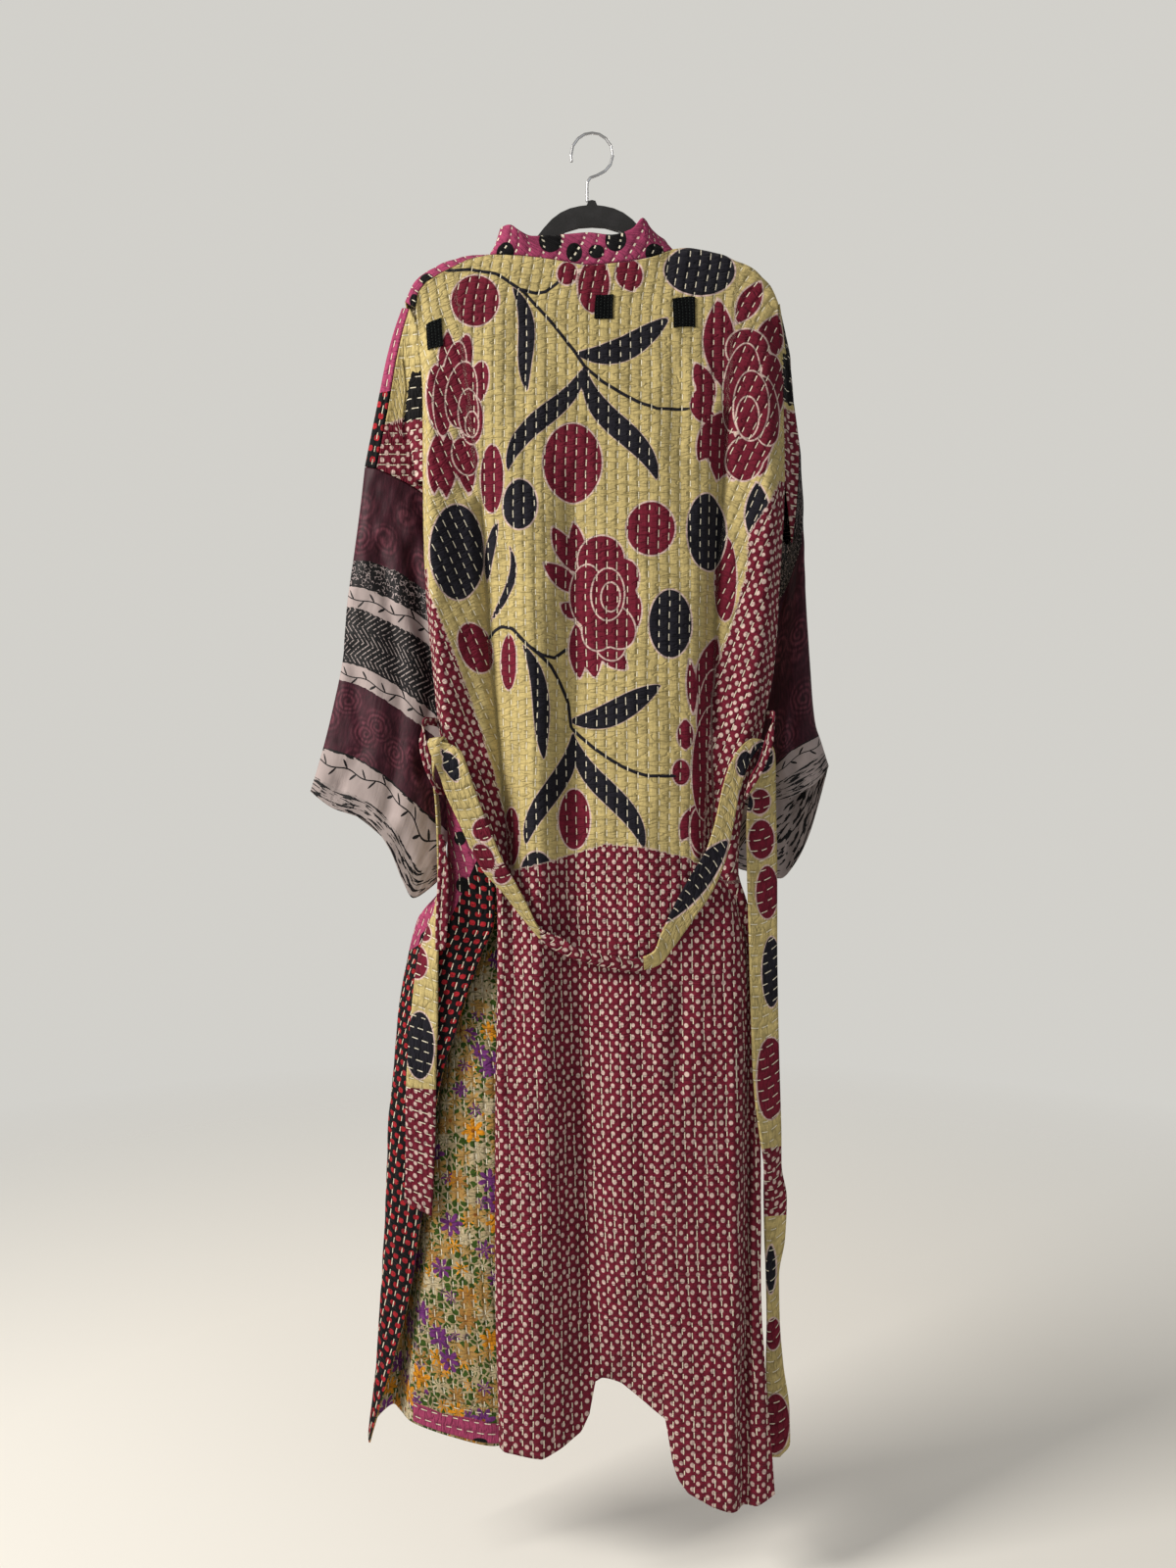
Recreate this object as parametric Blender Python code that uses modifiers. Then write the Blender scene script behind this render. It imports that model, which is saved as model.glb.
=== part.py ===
# Kimono coat on a hanger, seen from its back: hand quilted cotton body, silk sleeves, belt.
# X runs across the shoulders, -Y is the coat's back, +Z is up; the hook's inside top is the origin.
import bpy
import numpy as np

MM = 0.001
CLOTH = 2.0
SILK = 1.4
BELT_CLOTH = 2.4
SEAM_GAP = 0.35
HANGER_THICK = 5.5
HOOK_WIRE = 3.4

# Back panel sections: across the coat at each height, x then depth y of every fold line.
BACK_LINES = ("left", "left_roll", "left_trough", "left_ridge", "centre", "right_ridge",
              "shoulder_blade", "right_trough", "right_roll", "right")
BACK_X = {
    150: (-200, -188, -160, -85, -8, 56, 108, 150, 184, 211),
    215: (-197, -184, -158, -88, -18, 60, 110, 156, 190, 214),
    300: (-193, -181, -149, -84, -18, 62, 112, 156, 196, 218),
    400: (-193, -181, -131, -78, -21, 64, 114, 154, 199, 220),
    500: (-191, -179, -121, -72, -21, 62, 115, 143, 194, 215),
    600: (-183, -171, -115, -68, -21, 60, 112, 139, 186, 209),
    700: (-171, -158, -105, -64, -21, 60, 110, 138, 170, 190),
    800: (-127, -119, -99, -60, -21, 62, 112, 141, 158, 168),
    850: (-109, -103, -94, -60, -20, 61, 118, 146, 158, 166),
    900: (-106, -101, -90, -60, -19, 60, 158, 175, 179, 184),
    1000: (-107, -101, -88, -60, -16, 58, 163, 180, 184, 189),
    1150: (-109, -102, -88, -59, -12, 52, 163, 180, 185, 192),
    1300: (-109, -102, -88, -58, -8, 48, 160, 177, 184, 192),
    1480: (-104, -97, -84, -56, -3, 46, 154, 172, 188, 207),
}
BACK_Y = {
    150: (-9, -9, -10, -14, -15, -14, -11, -11, -11, -10),
    215: (-4, -11, -13, -16, -16, -16, -15, -13, -11, -3),
    300: (1, -15, -12, -19, -16, -19, -18, -12, -16, -1),
    400: (3, -18, -7, -22, -14, -22, -20, -7, -19, 1),
    500: (4, -20, -2, -24, -12, -24, -21, -5, -20, 1),
    600: (4, -20, 0, -26, -11, -26, -22, -5, -20, 1),
    700: (2, -18, 1, -26, -11, -26, -22, -5, -19, -1),
    800: (-10, -19, -1, -26, -11, -26, -20, -7, -16, -5),
    850: (-13, -20, -10, -27, -10, -26, -20, -6, -12, -5),
    900: (-14, -20, -16, -28, -9, -26, -20, -2, -5, -5),
    1000: (-14, -20, -18, -30, -6, -26, -20, -1, -5, -5),
    1150: (-13, -20, -20, -30, -3, -26, -20, 0, -6, -5),
    1300: (-13, -21, -22, -30, -2, -22, -22, -2, -10, -8),
    1480: (-13, -22, -24, -30, -6, 2, -26, -10, -18, -12),
}
BACK_ROWS = (150, 153, 158, 166, 180, 200, 225, 260, 300, 345, 390, 435, 480, 525, 570, 615, 660,
             705, 750, 795, 840, 880, 930, 990, 1060, 1140, 1220, 1300, 1370, 1420, 1455, 1480)
# Top edge of the back, from the left shoulder over the neck seam to the right shoulder: x, z, depth.
BACK_TOP = (
    (-200, -202, -9), (-197, -185, -9), (-189, -174, -9), (-171, -163, -9.5), (-141, -149, -10),
    (-116, -142.5, -10), (-83, -145, -14), (-49, -149, -15), (-4, -157, -15), (51, -151, -15),
    (75, -144, -13), (88, -137, -8), (98, -131, -1), (114, -131, -0.6), (148, -138, -0.6),
    (164, -146, -0.6), (181, -152, -0.6), (192, -163, -0.6), (203, -174, -0.6), (211, -192, -0.6),
)
# Hem of the back, which steps up over the fold in the middle: x, z.
BACK_HEM = (
    (-104, -1494), (-82, -1497), (-56, -1498), (-32, -1489), (-12, -1478), (-3, -1460), (4, -1418),
    (18, -1422), (34, -1428), (53, -1444), (70, -1457), (84, -1466), (92, -1514), (98, -1532),
    (109, -1546), (136, -1557), (165, -1562), (186, -1558), (207, -1548),
)

# Left front sections: slit edge, outer face, left fold, wall side, crest of the lining side, centre.
LEFT_FRONT_LINES = ("edge", "outer", "fold", "wall", "crest_left", "crest_right", "inner", "centre")
LEFT_FRONT_X = {
    150: (-205, -190, -178, -165, -152, -140, -128, -117),
    215: (-197, -184, -171, -157, -143, -130, -116, -101),
    300: (-191, -179, -166, -149, -131, -113, -98, -86),
    400: (-191, -178, -163, -143, -121, -101, -86, -72),
    500: (-190.5, -177, -161, -139, -113, -91, -73, -57),
    600: (-182.5, -170, -153, -129, -101, -77, -58, -41),
    700: (-170.5, -166, -156, -130, -96, -66, -46, -27),
    743: (-150, -159, -167, -150, -98, -60, -38, -18),
    793: (-130, -150, -166.5, -150, -101, -60, -34, -11),
    838: (-114, -142, -167, -150, -104, -62, -32, -5),
    868: (-110, -145, -178, -158, -108, -66, -30, 0),
    900: (-111, -156, -204, -180, -115, -70, -30, 4),
    950: (-131, -174, -217, -187, -127, -88, -30, 8),
    1000: (-147, -185, -225, -190, -142, -105, -32, 4),
    1077: (-171, -200, -231, -198, -158, -108, -38, -6),
    1150: (-184, -209, -237, -205, -176, -110, -46, -20),
    1250: (-197, -220, -241, -212, -185, -112, -54, -46),
    1350: (-215, -232, -247, -222, -196, -112, -58, -76),
    1440: (-244, -250, -254, -228, -207, -112, -60, -98),
    1480: (-257, -258.5, -259, -234, -208, -112, -60, -106),
}
LEFT_FRONT_Y = {
    150: (9, 10, 10, 10, 10, 10, 10, 9),
    215: (11, 12, 13, 14, 15, 16, 16, 16),
    300: (12, 14, 16, 18, 18, 18, 18, 18),
    400: (12, 16, 20, 20, 18, 20, 22, 22),
    500: (9, 13, 17, 20, 18, 20, 24, 25),
    600: (6.6, 12, 16, 22, 20, 22, 26, 27),
    700: (4.6, 11, 17, 24, 24, 24, 26, 27),
    743: (-1.2, 1.2, 11, 28, 26, 24, 26, 27),
    793: (-7.2, -5, 12, 32, 24, 22, 25, 27),
    838: (-10.2, -8, 18, 36, 22, 18, 24, 27),
    868: (-10.5, -6, 34, 48, 24, 16, 24, 27),
    900: (-10, -4, 46, 58, 26, 14, 24, 28),
    950: (-9, -1, 42, 58, 18, 8, 22, 28),
    1000: (-8, 0, 34, 54, 10, 3, 20, 30),
    1077: (-5, 3, 30, 50, 10, 1, 20, 34),
    1150: (0, 8, 28, 50, 12, -1, 21, 40),
    1250: (5, 12, 28, 50, 12, -2, 22, 46),
    1350: (9, 15, 27, 48, 12, -3, 23, 50),
    1440: (13, 18, 25, 46, 14, -3, 24, 53),
    1480: (15, 18.5, 23, 42, 14, -2, 24, 54),
}
LEFT_FRONT_ROWS = (150, 160, 175, 200, 230, 270, 320, 370, 420, 470, 520, 570, 620, 665, 700, 722, 743,
                   780, 815, 845, 870, 900, 935, 975, 1020, 1070, 1130, 1200, 1270, 1340, 1400,
                   1445, 1480)
LEFT_FRONT_HEM = (-1505, -1502, -1494, -1474, -1480, -1499, -1480, -1516)
# Over the left shoulder: seam on the back side, as steps along the back's top edge, then the ridge
# at the eight lines.
LEFT_SHOULDER_SEAM = (0, 1, 2, 3, 3.5, 4, 4.5, 5, 5.5, 6, 6.33, 6.67, 7, 7.36, 7.7)
LEFT_SHOULDER_RIDGE = ((-213, -193), (-203, -172), (-191, -161), (-172, -150), (-155, -144),
                       (-141, -140.5), (-128, -139.5), (-117, -139.5))

# Right front sections, plain: side edge, four lines, front edge.
RIGHT_FRONT_X = {
    150: (211, 190, 170, 148, 124, 100),
    215: (213, 196, 175, 150, 122, 96),
    300: (217, 200, 175, 145, 112, 84),
    400: (218.5, 200, 175, 144, 108, 72),
    500: (214.5, 198, 172, 139, 102, 64),
    600: (208.5, 192, 166, 134, 98, 61),
    700: (189.5, 176, 154, 126, 94, 61),
    800: (167, 158, 142, 118, 91, 63),
    850: (165.5, 156, 140, 117, 92, 66),
    900: (180, 168, 148, 122, 95, 68),
    1000: (186, 172, 151, 126, 100, 73),
    1150: (188, 172, 150, 128, 104, 80),
    1300: (188, 170, 150, 130, 108, 88),
    1480: (192, 172, 154, 136, 118, 100),
}
RIGHT_FRONT_Y = {
    150: (9, 10, 10, 10, 10, 9),
    215: (8, 11, 14, 15, 16, 16),
    300: (9, 13, 16, 18, 18, 20),
    400: (10, 15, 19, 20, 22, 27),
    500: (6, 12, 20, 18, 26, 33),
    600: (3.6, 11, 22, 18, 28, 36),
    700: (1.6, 9, 24, 20, 30, 38),
    800: (-2.4, 8, 26, 20, 32, 39),
    850: (-2.4, 9, 28, 20, 33, 40),
    900: (5, 12, 30, 20, 34, 41),
    1000: (8, 14, 32, 20, 35, 42),
    1150: (10, 16, 33, 20, 36, 42),
    1300: (12, 18, 34, 20, 37, 42),
    1480: (14, 20, 35, 20, 38, 42),
}
RIGHT_FRONT_ROWS = (150, 160, 180, 215, 260, 320, 380, 440, 500, 560, 620, 680, 740, 800, 850, 900,
                    980, 1070, 1170, 1280, 1390, 1480)
RIGHT_FRONT_HEM = (-1512, -1514, -1508, -1494, -1476, -1458)
RIGHT_SHOULDER_RIDGE = ((211, -192), (200, -171), (184, -155), (160, -144), (128, -134), (99, -131))

# Neck part of the band: where along the neck seam (x), then its free edge x, y, z.
BAND_NECK = (
    (-112, -104, -7, -112.5),
    (-104, -99, -15, -112),
    (-94, -91, -20.5, -113),
    (-84, -82, -20, -119),
    (-67, -68, -17, -124),
    (-49, -50, -16, -123),
    (-27, -27, -15, -121),
    (-5, -4, -14.5, -119),
    (22, 22, -15.5, -122),
    (45, 44, -18, -117),
    (60, 57, -18, -104),
    (72, 66, -12.5, -113),
    (82, 75, -9, -120),
    (90, 83, -5, -124),
)
# Band on the two fronts: height, then its free edge from the seam in x, y, z, left and right.
BAND_LEFT = (
    (139, 17, 2, 27),
    (143, 19, 5, 27),
    (160, 23, 9, 30),
    (190, 30, 11, 28),
    (240, 38, 8, 14),
    (320, 43, 4, 4),
    (420, 44, 2, 0),
    (1000, 44, 2, 0),
    (1077, 38, 0, 0),
    (1150, 30, 10, 0),
    (1200, 14, 30, 0),
    (1250, -14, 32, 0),
    (1350, -36, 20, 0),
    (1440, -42, 10, 0),
    (1520, -43, 8, 0),
)
BAND_RIGHT = (
    (131, -13, 5, 6),
    (136, -15, 6, 8),
    (142, -17, 7, 12),
    (160, -22, 9, 20),
    (190, -30, 11, 22),
    (240, -38, 8, 14),
    (320, -43, 4, 4),
    (420, -44, 2, 0),
    (1500, -44, 2, 0),
)

# Upper sleeves, back half: from the shoulder seam line to the underarm, four rings, x y z.
UPPER_LEFT_BACK = {
    0.0: ((-208, -4, -201), (-198, -1, -240), (-196.4, 1, -290), (-196.4, 2.6, -345), (-195.5, 4, -396)),
    0.3: ((-221, 3, -240), (-216, 8, -275), (-213, 12, -312), (-210, 15, -352), (-204, 20, -392)),
    0.65: ((-236, 13, -310), (-226, 18, -330), (-213, 23, -354), (-200, 28, -381), (-184, 34, -412)),
    1.0: ((-251, 23, -376), (-226, 27, -387), (-199, 32, -402), (-182, 37, -418), (-166, 43, -440)),
}
UPPER_LEFT_FRONT = {
    0.0: ((-208, -4, -201), (-217, 3, -198), (-211, 11, -213), (-198, 14.5, -252), (-195, 15, -322),
          (-193.6, 12, -398)),
    0.3: ((-221, 3, -240), (-232, 11, -236), (-224, 24, -256), (-211, 33, -300), (-202, 37, -350),
          (-187, 38, -392)),
    0.65: ((-236, 13, -310), (-249, 21, -305), (-236, 37, -322), (-216, 47, -352), (-197, 51, -381),
           (-173, 49, -412)),
    1.0: ((-251, 23, -376), (-265, 31, -372), (-240, 47, -381), (-212, 55, -397), (-186, 58, -418),
          (-165, 49, -440)),
}
UPPER_RIGHT_BACK = {
    0.0: ((214, 0, -194), (217, 0, -235), (219.8, 0.4, -285), (221.2, 1, -340), (221.6, 2.4, -396)),
    0.5: ((226, 12, -262), (226, 14, -300), (227, 15, -340), (228, 17, -382), (228.5, 20, -424)),
    1.0: ((241, 26, -343), (241, 25, -370), (240, 26, -398), (238, 29, -430), (235, 34.5, -460)),
}
UPPER_RIGHT_FRONT = {
    0.0: ((214, 0, -194), (215, 6, -195), (217.5, 12, -201), (220.5, 14, -247), (221, 14, -325),
          (220.4, 8, -396)),
    0.5: ((226, 12, -262), (230, 18, -263), (232, 29, -271), (228, 38, -312), (225, 39, -370),
          (222, 27, -424)),
    1.0: ((241, 26, -343), (239, 37, -346), (231, 51, -362), (224, 58, -388), (222, 60, -425),
          (226, 47, -452)),
}

# Silk sleeves: rings below the seam, by how far along. Around: outer edge, back face, underarm, wall face.
SILK_LEFT = {
    40: ((-270, 33, -412), (-257, 25, -416), (-228, 26, -428), (-200, 30, -444), (-178, 37, -462),
         (-158, 46, -485), (-179, 60, -462), (-206, 60, -444), (-240, 52, -428)),
    100: ((-279, 35, -477), (-262, 27, -479), (-230, 26, -490), (-197, 29, -510), (-172, 37, -530),
          (-150, 46, -552), (-172, 60, -530), (-200, 61, -510), (-242, 52, -490)),
    158: ((-287, 36, -533), (-268, 28, -538), (-232, 24, -554), (-196, 29, -575), (-171, 37, -596),
          (-150, 46, -618), (-172, 59, -596), (-202, 60, -575), (-246, 52, -554)),
    222: ((-292, 37, -595), (-272, 28, -600), (-236, 25, -618), (-200, 26, -643), (-174, 34, -664),
          (-154, 44, -686), (-176, 57, -664), (-206, 58, -643), (-250, 52, -618)),
    280: ((-303, 38, -650), (-280, 30, -657), (-244, 23, -678), (-208, 25, -706), (-180, 32, -728),
          (-160, 42, -746), (-182, 54, -728), (-214, 56, -706), (-258, 50, -678)),
    335: ((-316, 39, -702), (-290, 31, -709), (-252, 25, -727), (-216, 22, -758), (-188, 28, -784),
          (-168, 38, -800), (-190, 50, -784), (-222, 54, -758), (-268, 50, -727)),
    384: ((-331, 40, -752), (-302, 33, -772), (-262, 28, -786), (-234, 24, -822), (-208, 25, -876),
          (-180, 35, -856), (-204, 46, -866), (-234, 52, -822), (-278, 50, -782)),
}
SILK_RIGHT = {
    18: ((242.5, 36, -362), (244, 28, -364), (243.5, 27, -386), (242, 28, -413), (239.5, 31.5, -446),
         (232, 46, -483), (224, 66, -443), (227, 65, -403), (236, 53, -379)),
    40: ((244, 37, -385), (245, 29, -387), (244.5, 28, -408), (242.5, 29, -434), (239, 33, -464),
         (229, 48, -502), (219, 70, -463), (224, 70, -427), (235, 56, -400)),
    80: ((247, 35, -428), (246, 29, -432), (245, 28.5, -450), (241, 31, -474), (234, 40, -500),
         (216, 56, -526), (208, 72, -502), (219, 72, -466), (237, 58, -438)),
    160: ((250, 36, -510), (246, 28, -514), (238, 30, -522), (224, 48, -540), (208, 53, -562),
          (194, 58, -590), (202, 71, -572), (220, 73, -548), (242, 60, -522)),
    240: ((256, 38, -600), (248, 29, -604), (234, 31, -612), (216, 50, -630), (198, 54, -648),
          (180, 59, -670), (196, 72, -654), (218, 74, -632), (244, 62, -608)),
    300: ((262, 40, -668), (250, 29, -674), (228, 29, -688), (208, 47, -710), (190, 52, -728),
          (172, 58, -746), (190, 72, -730), (212, 75, -708), (242, 63, -684)),
    340: ((270, 41, -694), (254, 29, -702), (226, 27, -720), (204, 42, -744), (186, 50, -762),
          (168, 57, -778), (188, 71, -770), (214, 74, -746), (250, 63, -716)),
    384: ((279, 42, -722), (262, 31, -742), (236, 27, -757), (212, 34, -764), (188, 44, -800),
          (168, 56, -838), (196, 72, -850), (228, 74, -857), (262, 64, -800)),
}
SILK_RINGS = (0, 18, 40, 70, 100, 130, 158, 190, 222, 250, 280, 308, 335, 360, 384)

# Belt: lower edge x y z, then upper edge x y z, from the left tail end over the back to the right one.
BELT = (
    (-215, 2, -1222, -183, -3, -1236),
    (-213, 1, -1180, -180, -6, -1184),
    (-213, 1, -1120, -178, -8, -1124),
    (-211, 0, -1060, -177, -10, -1064),
    (-206, 1, -1000, -175, -11, -1003),
    (-201, 5, -952, -175, -12, -952),
    (-192, 12, -916, -174, -13, -912),
    (-181, 17, -884, -173.5, -14, -880),
    (-176, 20, -846, -174, -13, -846),
    (-176, 18, -800, -175, -13, -800),
    (-178, 16, -762, -177, -13, -762),
    (-183, 13, -734, -180, -13, -734),
    (-183.5, 8, -712, -175, -17, -712),
    (-183, -2, -699, -162.3, -18.6, -699),
    (-185, -5, -692, -166.5, -24, -690.5),
    (-187, -8.5, -699, -169.5, -28, -696),
    (-184, -17, -705, -158, -29.5, -699),
    (-178, -25, -716, -147, -31, -706),
    (-171, -27, -733, -135, -31, -738),
    (-164, -28, -754, -126, -31, -764),
    (-150, -29, -784, -113, -32, -796),
    (-137, -30, -812, -100, -33, -828),
    (-122, -31, -840, -86, -34, -852),
    (-100, -32, -864, -73, -35, -876),
    (-78, -33, -892, -56, -36, -906),
    (-50, -34, -923, -34, -36, -914),
    (-20, -34, -938, -17, -38, -926),
    (10, -33, -946, 12, -38, -932),
    (42, -33, -952, 42, -38, -938),
    (72, -32, -946, 68, -38, -930),
    (92, -31, -924, 78, -36, -908),
    (112, -30, -896, 92, -34, -878),
    (135, -30, -862, 112, -33, -842),
    (150, -29, -826, 128, -32, -816),
    (158, -28, -790, 138, -31, -784),
    (165, -27, -754, 146, -30, -748),
    (172, -26, -730, 156, -29, -718),
    (183, -26, -708, 168, -30, -700),
    (194, -22.5, -697, 180, -26.5, -692),
    (203, -15, -699, 190, -21, -694),
    (208, -9, -713, 190, -18.5, -707),
    (209, -5, -744, 182, -17, -738),
    (210, -4, -790, 175, -15, -790),
    (211, -4, -850, 176, -14, -850),
    (211, -4, -920, 178, -13, -920),
    (212, -4, -1000, 180, -13, -1000),
    (214, -4, -1080, 183, -13, -1080),
    (216, -1, -1140, 190, -12, -1140),
    (217, 4, -1180, 196, -8, -1180),
    (224, 8, -1220, 197, 2, -1220),
    (222, 8, -1265, 198, 3, -1265),
    (215, 9, -1310, 200, 4, -1310),
    (216, 9, -1360, 201, 5, -1360),
    (220, 8, -1410, 200, 6, -1410),
    (227, 8, -1460, 201, 6, -1460),
    (228, 8, -1500, 203, 6, -1506),
    (216, 8, -1517, 207, 6, -1516),
)
# Belt loops: centre line x y z of each narrow strip, sewn to the side seam above and below the belt.
LOOPS = {
    "left_belt_loop": ((-177.2, 0.5, -673), (-181, -8, -672), (-186, -22, -672), (-189, -32, -678),
                       (-188, -36, -698), (-183, -36, -722), (-179, -31, -738), (-172, -18, -750),
                       (-160, -2.4, -752)),
    "right_belt_loop": ((199.6, -2, -664), (204, -10, -664), (205, -22, -666), (203, -31, -674),
                        (198, -35, -692), (190, -35, -718), (180, -33, -738), (174, -25, -752),
                        (173, -13, -758)),
}
LOOP_WIDTH = 9.0
# Narrow tie hanging by the left side seam: centre line x y z and half width.
TIE = ((-170.9, -14.2, -800, 2.5), (-168.8, -16.4, -820, 4), (-168, -18, -845, 6), (-169, -19, -880, 6.5),
       (-170, -20, -910, 6.5), (-171, -20, -930, 5.5))

# Patches and facing sewn on a piece: its rows from and to, its columns from and to, by their numbers.
PATCHES = {
    "patch_neck": ("back_panel", 4.4, 5.64, 12.77, 13.54),
    "patch_right_shoulder": ("back_panel", 5.14, 6.27, 16.8, 18.4),
    "patch_left_armhole": ("back_panel", 5.32, 6.53, 2.4, 4.9),
    "patch_left_sleeve": ("left_upper_sleeve_back", 1.4, 3.3, 1.0, 3.0),
    "left_front_hem_facing": ("left_front", 34.9, 35.9, 8.1, 10.4),
}
PATCH_CLOTH = 1.2

# Hanger outline, right half: x, z from the top middle round to the underside.
HANGER = (
    (0, -76), (4, -77), (6, -82), (14, -83), (25, -85.5), (36, -90.5), (46, -98), (55, -108),
    (62, -117), (74, -125), (88, -134.5), (102, -140.5), (118, -142.6), (141, -143.6), (156, -147.6),
    (172, -153.6), (188, -164), (200, -179), (205, -191), (203, -198), (196, -198), (188, -187),
    (176, -175), (160, -167), (140, -162), (116, -160), (96, -154), (76, -144), (58, -133),
    (44, -120), (30, -111), (15, -106.5), (0, -105.5),
)
# Hook centre line: x, z.
HOOK = (
    (-5.5, -76.7), (-5.5, -62), (-5.2, -54), (-2, -49.5), (6, -46.6), (14.5, -42), (21, -34.5),
    (23.8, -24), (22, -13), (16, -4.6), (8.5, 0.2), (0, 1.7), (-8.5, 0.2), (-16, -4.6), (-22, -13),
    (-24, -24), (-23.2, -31),
)


def smooth(at, stations, values):
    """Cubic curve through the stations whose slopes are limited, so it never overshoots them."""
    at = np.atleast_1d(np.asarray(at, float))
    stations = np.asarray(stations, float)
    values = np.asarray(values, float)
    step = np.diff(stations)
    rise = np.diff(values) / step
    slope = np.empty(len(stations))
    both = rise[:-1] * rise[1:]
    slope[1:-1] = np.where(both > 0, 2 * both / (rise[:-1] + rise[1:] + 1e-12), 0)
    slope[0] = rise[0]
    slope[-1] = rise[-1]
    i = np.clip(np.searchsorted(stations, at, side="right") - 1, 0, len(step) - 1)
    t = np.clip((at - stations[i]) / step[i], 0, 1)
    keep = (1 + 2 * t) * (1 - t) ** 2 * values[i] + t * t * (3 - 2 * t) * values[i + 1]
    return keep + step[i] * (t * (1 - t) ** 2 * slope[i] - t * t * (1 - t) * slope[i + 1])


def curve_through(points, at):
    """Points of a curve through the given points, taken at fractions of their numbers."""
    points = np.array(points, float)
    return np.stack([smooth(at, np.arange(len(points)), column) for column in points.T], 1)


def along_edge(row, at):
    """Points along a row of a grid at fractions of their numbers, in straight steps."""
    return np.stack([np.interp(at, np.arange(len(row)), row[:, axis]) for axis in range(3)], 1)


def table_rows(table, levels):
    """Each line of a section table taken at new levels: an array of level by line."""
    known = sorted(table)
    lines = np.array([table[k] for k in known], float)
    return np.stack([smooth(levels, known, lines[:, j]) for j in range(lines.shape[1])], 1)


def spread(rows, parts):
    """Each row carried smoothly through its lines, every gap between two lines in so many parts."""
    count = rows.shape[1]
    at = np.linspace(0, count - 1, (count - 1) * parts + 1)
    return np.stack([smooth(at, np.arange(count), row) for row in rows])


def draped(table_x, table_y, rows, top_z, hem_z, parts):
    """Cloth hung in sections: rows follow the top edge above, the hem below, and are level between."""
    x = spread(table_rows(table_x, rows), parts)
    y = spread(table_rows(table_y, rows), parts)
    level = np.asarray(rows, float)[:, None]
    upper = np.clip(1 - (level - rows[0]) / 170, 0, 1) ** 1.5
    lower = np.clip((level - 1240) / (rows[-1] - 1240), 0, 1) ** 1.6
    z = -level + upper * (top_z(x[0]) + rows[0]) + lower * (hem_z(x[-1]) + rows[-1])
    return np.stack([x, y, z], 2)


def rings(table, levels, parts, closed):
    """Rings of a sleeve at new levels, carried through their points, round or from edge to edge."""
    known = sorted(table)
    points = np.array([table[k] for k in known], float)
    count = points.shape[1]
    at = np.linspace(0, count, count * parts + 1)[:-1]
    if not closed:
        at = at[:(count - 1) * parts + 1]
    out = np.empty((len(levels), len(at), 3))
    for axis in range(3):
        along = np.stack([smooth(levels, known, points[:, j, axis]) for j in range(count)], 1)
        if closed:
            wide = np.concatenate([along[:, -2:], along, along[:, :3]], 1)
            out[:, :, axis] = np.stack([smooth(at, np.arange(-2, count + 3), row) for row in wide])
        else:
            out[:, :, axis] = np.stack([smooth(at, np.arange(count), row) for row in along])
    return out


def material(name, colour, roughness, metallic):
    """Principled material of one plain colour."""
    made = bpy.data.materials.new(name)
    made.use_nodes = True
    shader = made.node_tree.nodes["Principled BSDF"]
    shader.inputs["Base Color"].default_value = (*colour, 1)
    shader.inputs["Roughness"].default_value = roughness
    shader.inputs["Metallic"].default_value = metallic
    return made


def place(name, mesh, look):
    """New object for a mesh, with its own material, in the coat's collection."""
    made = bpy.data.objects.new(name, mesh)
    mesh.materials.append(material(name + "_look", *look))
    coat.objects.link(made)
    return made


def cloth(name, grid, thick, look, closed=False):
    """Sheet of cloth: the grid's points in quads, given its thickness to both sides."""
    count_rows, count_cols = grid.shape[:2]
    index = np.arange(count_rows * count_cols).reshape(count_rows, count_cols)
    if closed:
        index = np.concatenate([index, index[:, :1]], 1)
    faces = np.stack([index[:-1, :-1], index[1:, :-1], index[1:, 1:], index[:-1, 1:]], 2).reshape(-1, 4)
    mesh = bpy.data.meshes.new(name)
    mesh.from_pydata((grid.reshape(-1, 3) * MM).tolist(), [], faces.tolist())
    mesh.update()
    mesh.shade_smooth()
    made = place(name, mesh, look)
    made_of[name] = grid
    shell = made.modifiers.new("wall", "SOLIDIFY")
    shell.thickness = thick * MM
    shell.offset = 0
    shell.use_even_offset = False
    return made


bpy.context.scene.unit_settings.system = "METRIC"
for old in list(bpy.data.objects):
    bpy.data.objects.remove(old, do_unlink=True)
coat = bpy.data.collections.new("kimono_coat_on_hanger")
bpy.context.scene.collection.children.link(coat)

made_of = {}
BEIGE = ((0.50, 0.40, 0.17), 0.9, 0.0)
MAROON = ((0.17, 0.02, 0.045), 0.9, 0.0)
PINK = ((0.45, 0.07, 0.17), 0.9, 0.0)
BLACK = ((0.012, 0.011, 0.014), 0.9, 0.0)
SILK_LOOK = ((0.12, 0.03, 0.05), 0.6, 0.0)

# Back panel, and its seams.
back_top = np.array(BACK_TOP, float)
back_hem = np.array(BACK_HEM, float)
back = draped(BACK_X, BACK_Y, BACK_ROWS,
              lambda x: np.interp(x, back_top[:, 0], back_top[:, 1]),
              lambda x: np.interp(x, back_hem[:, 0], back_hem[:, 1]), 3)
top_depth = np.interp(back[0, :, 0], back_top[:, 0], back_top[:, 2])
below = back[0, :, 2][None, :] - back[:, :, 2]
turn = np.where(top_depth > -5, 3.5, 8)
back[:, :, 1] = top_depth + (back[:, :, 1] - top_depth) * (1 - np.exp(-below / turn))
cloth("back_panel", back, CLOTH, BEIGE)


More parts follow.
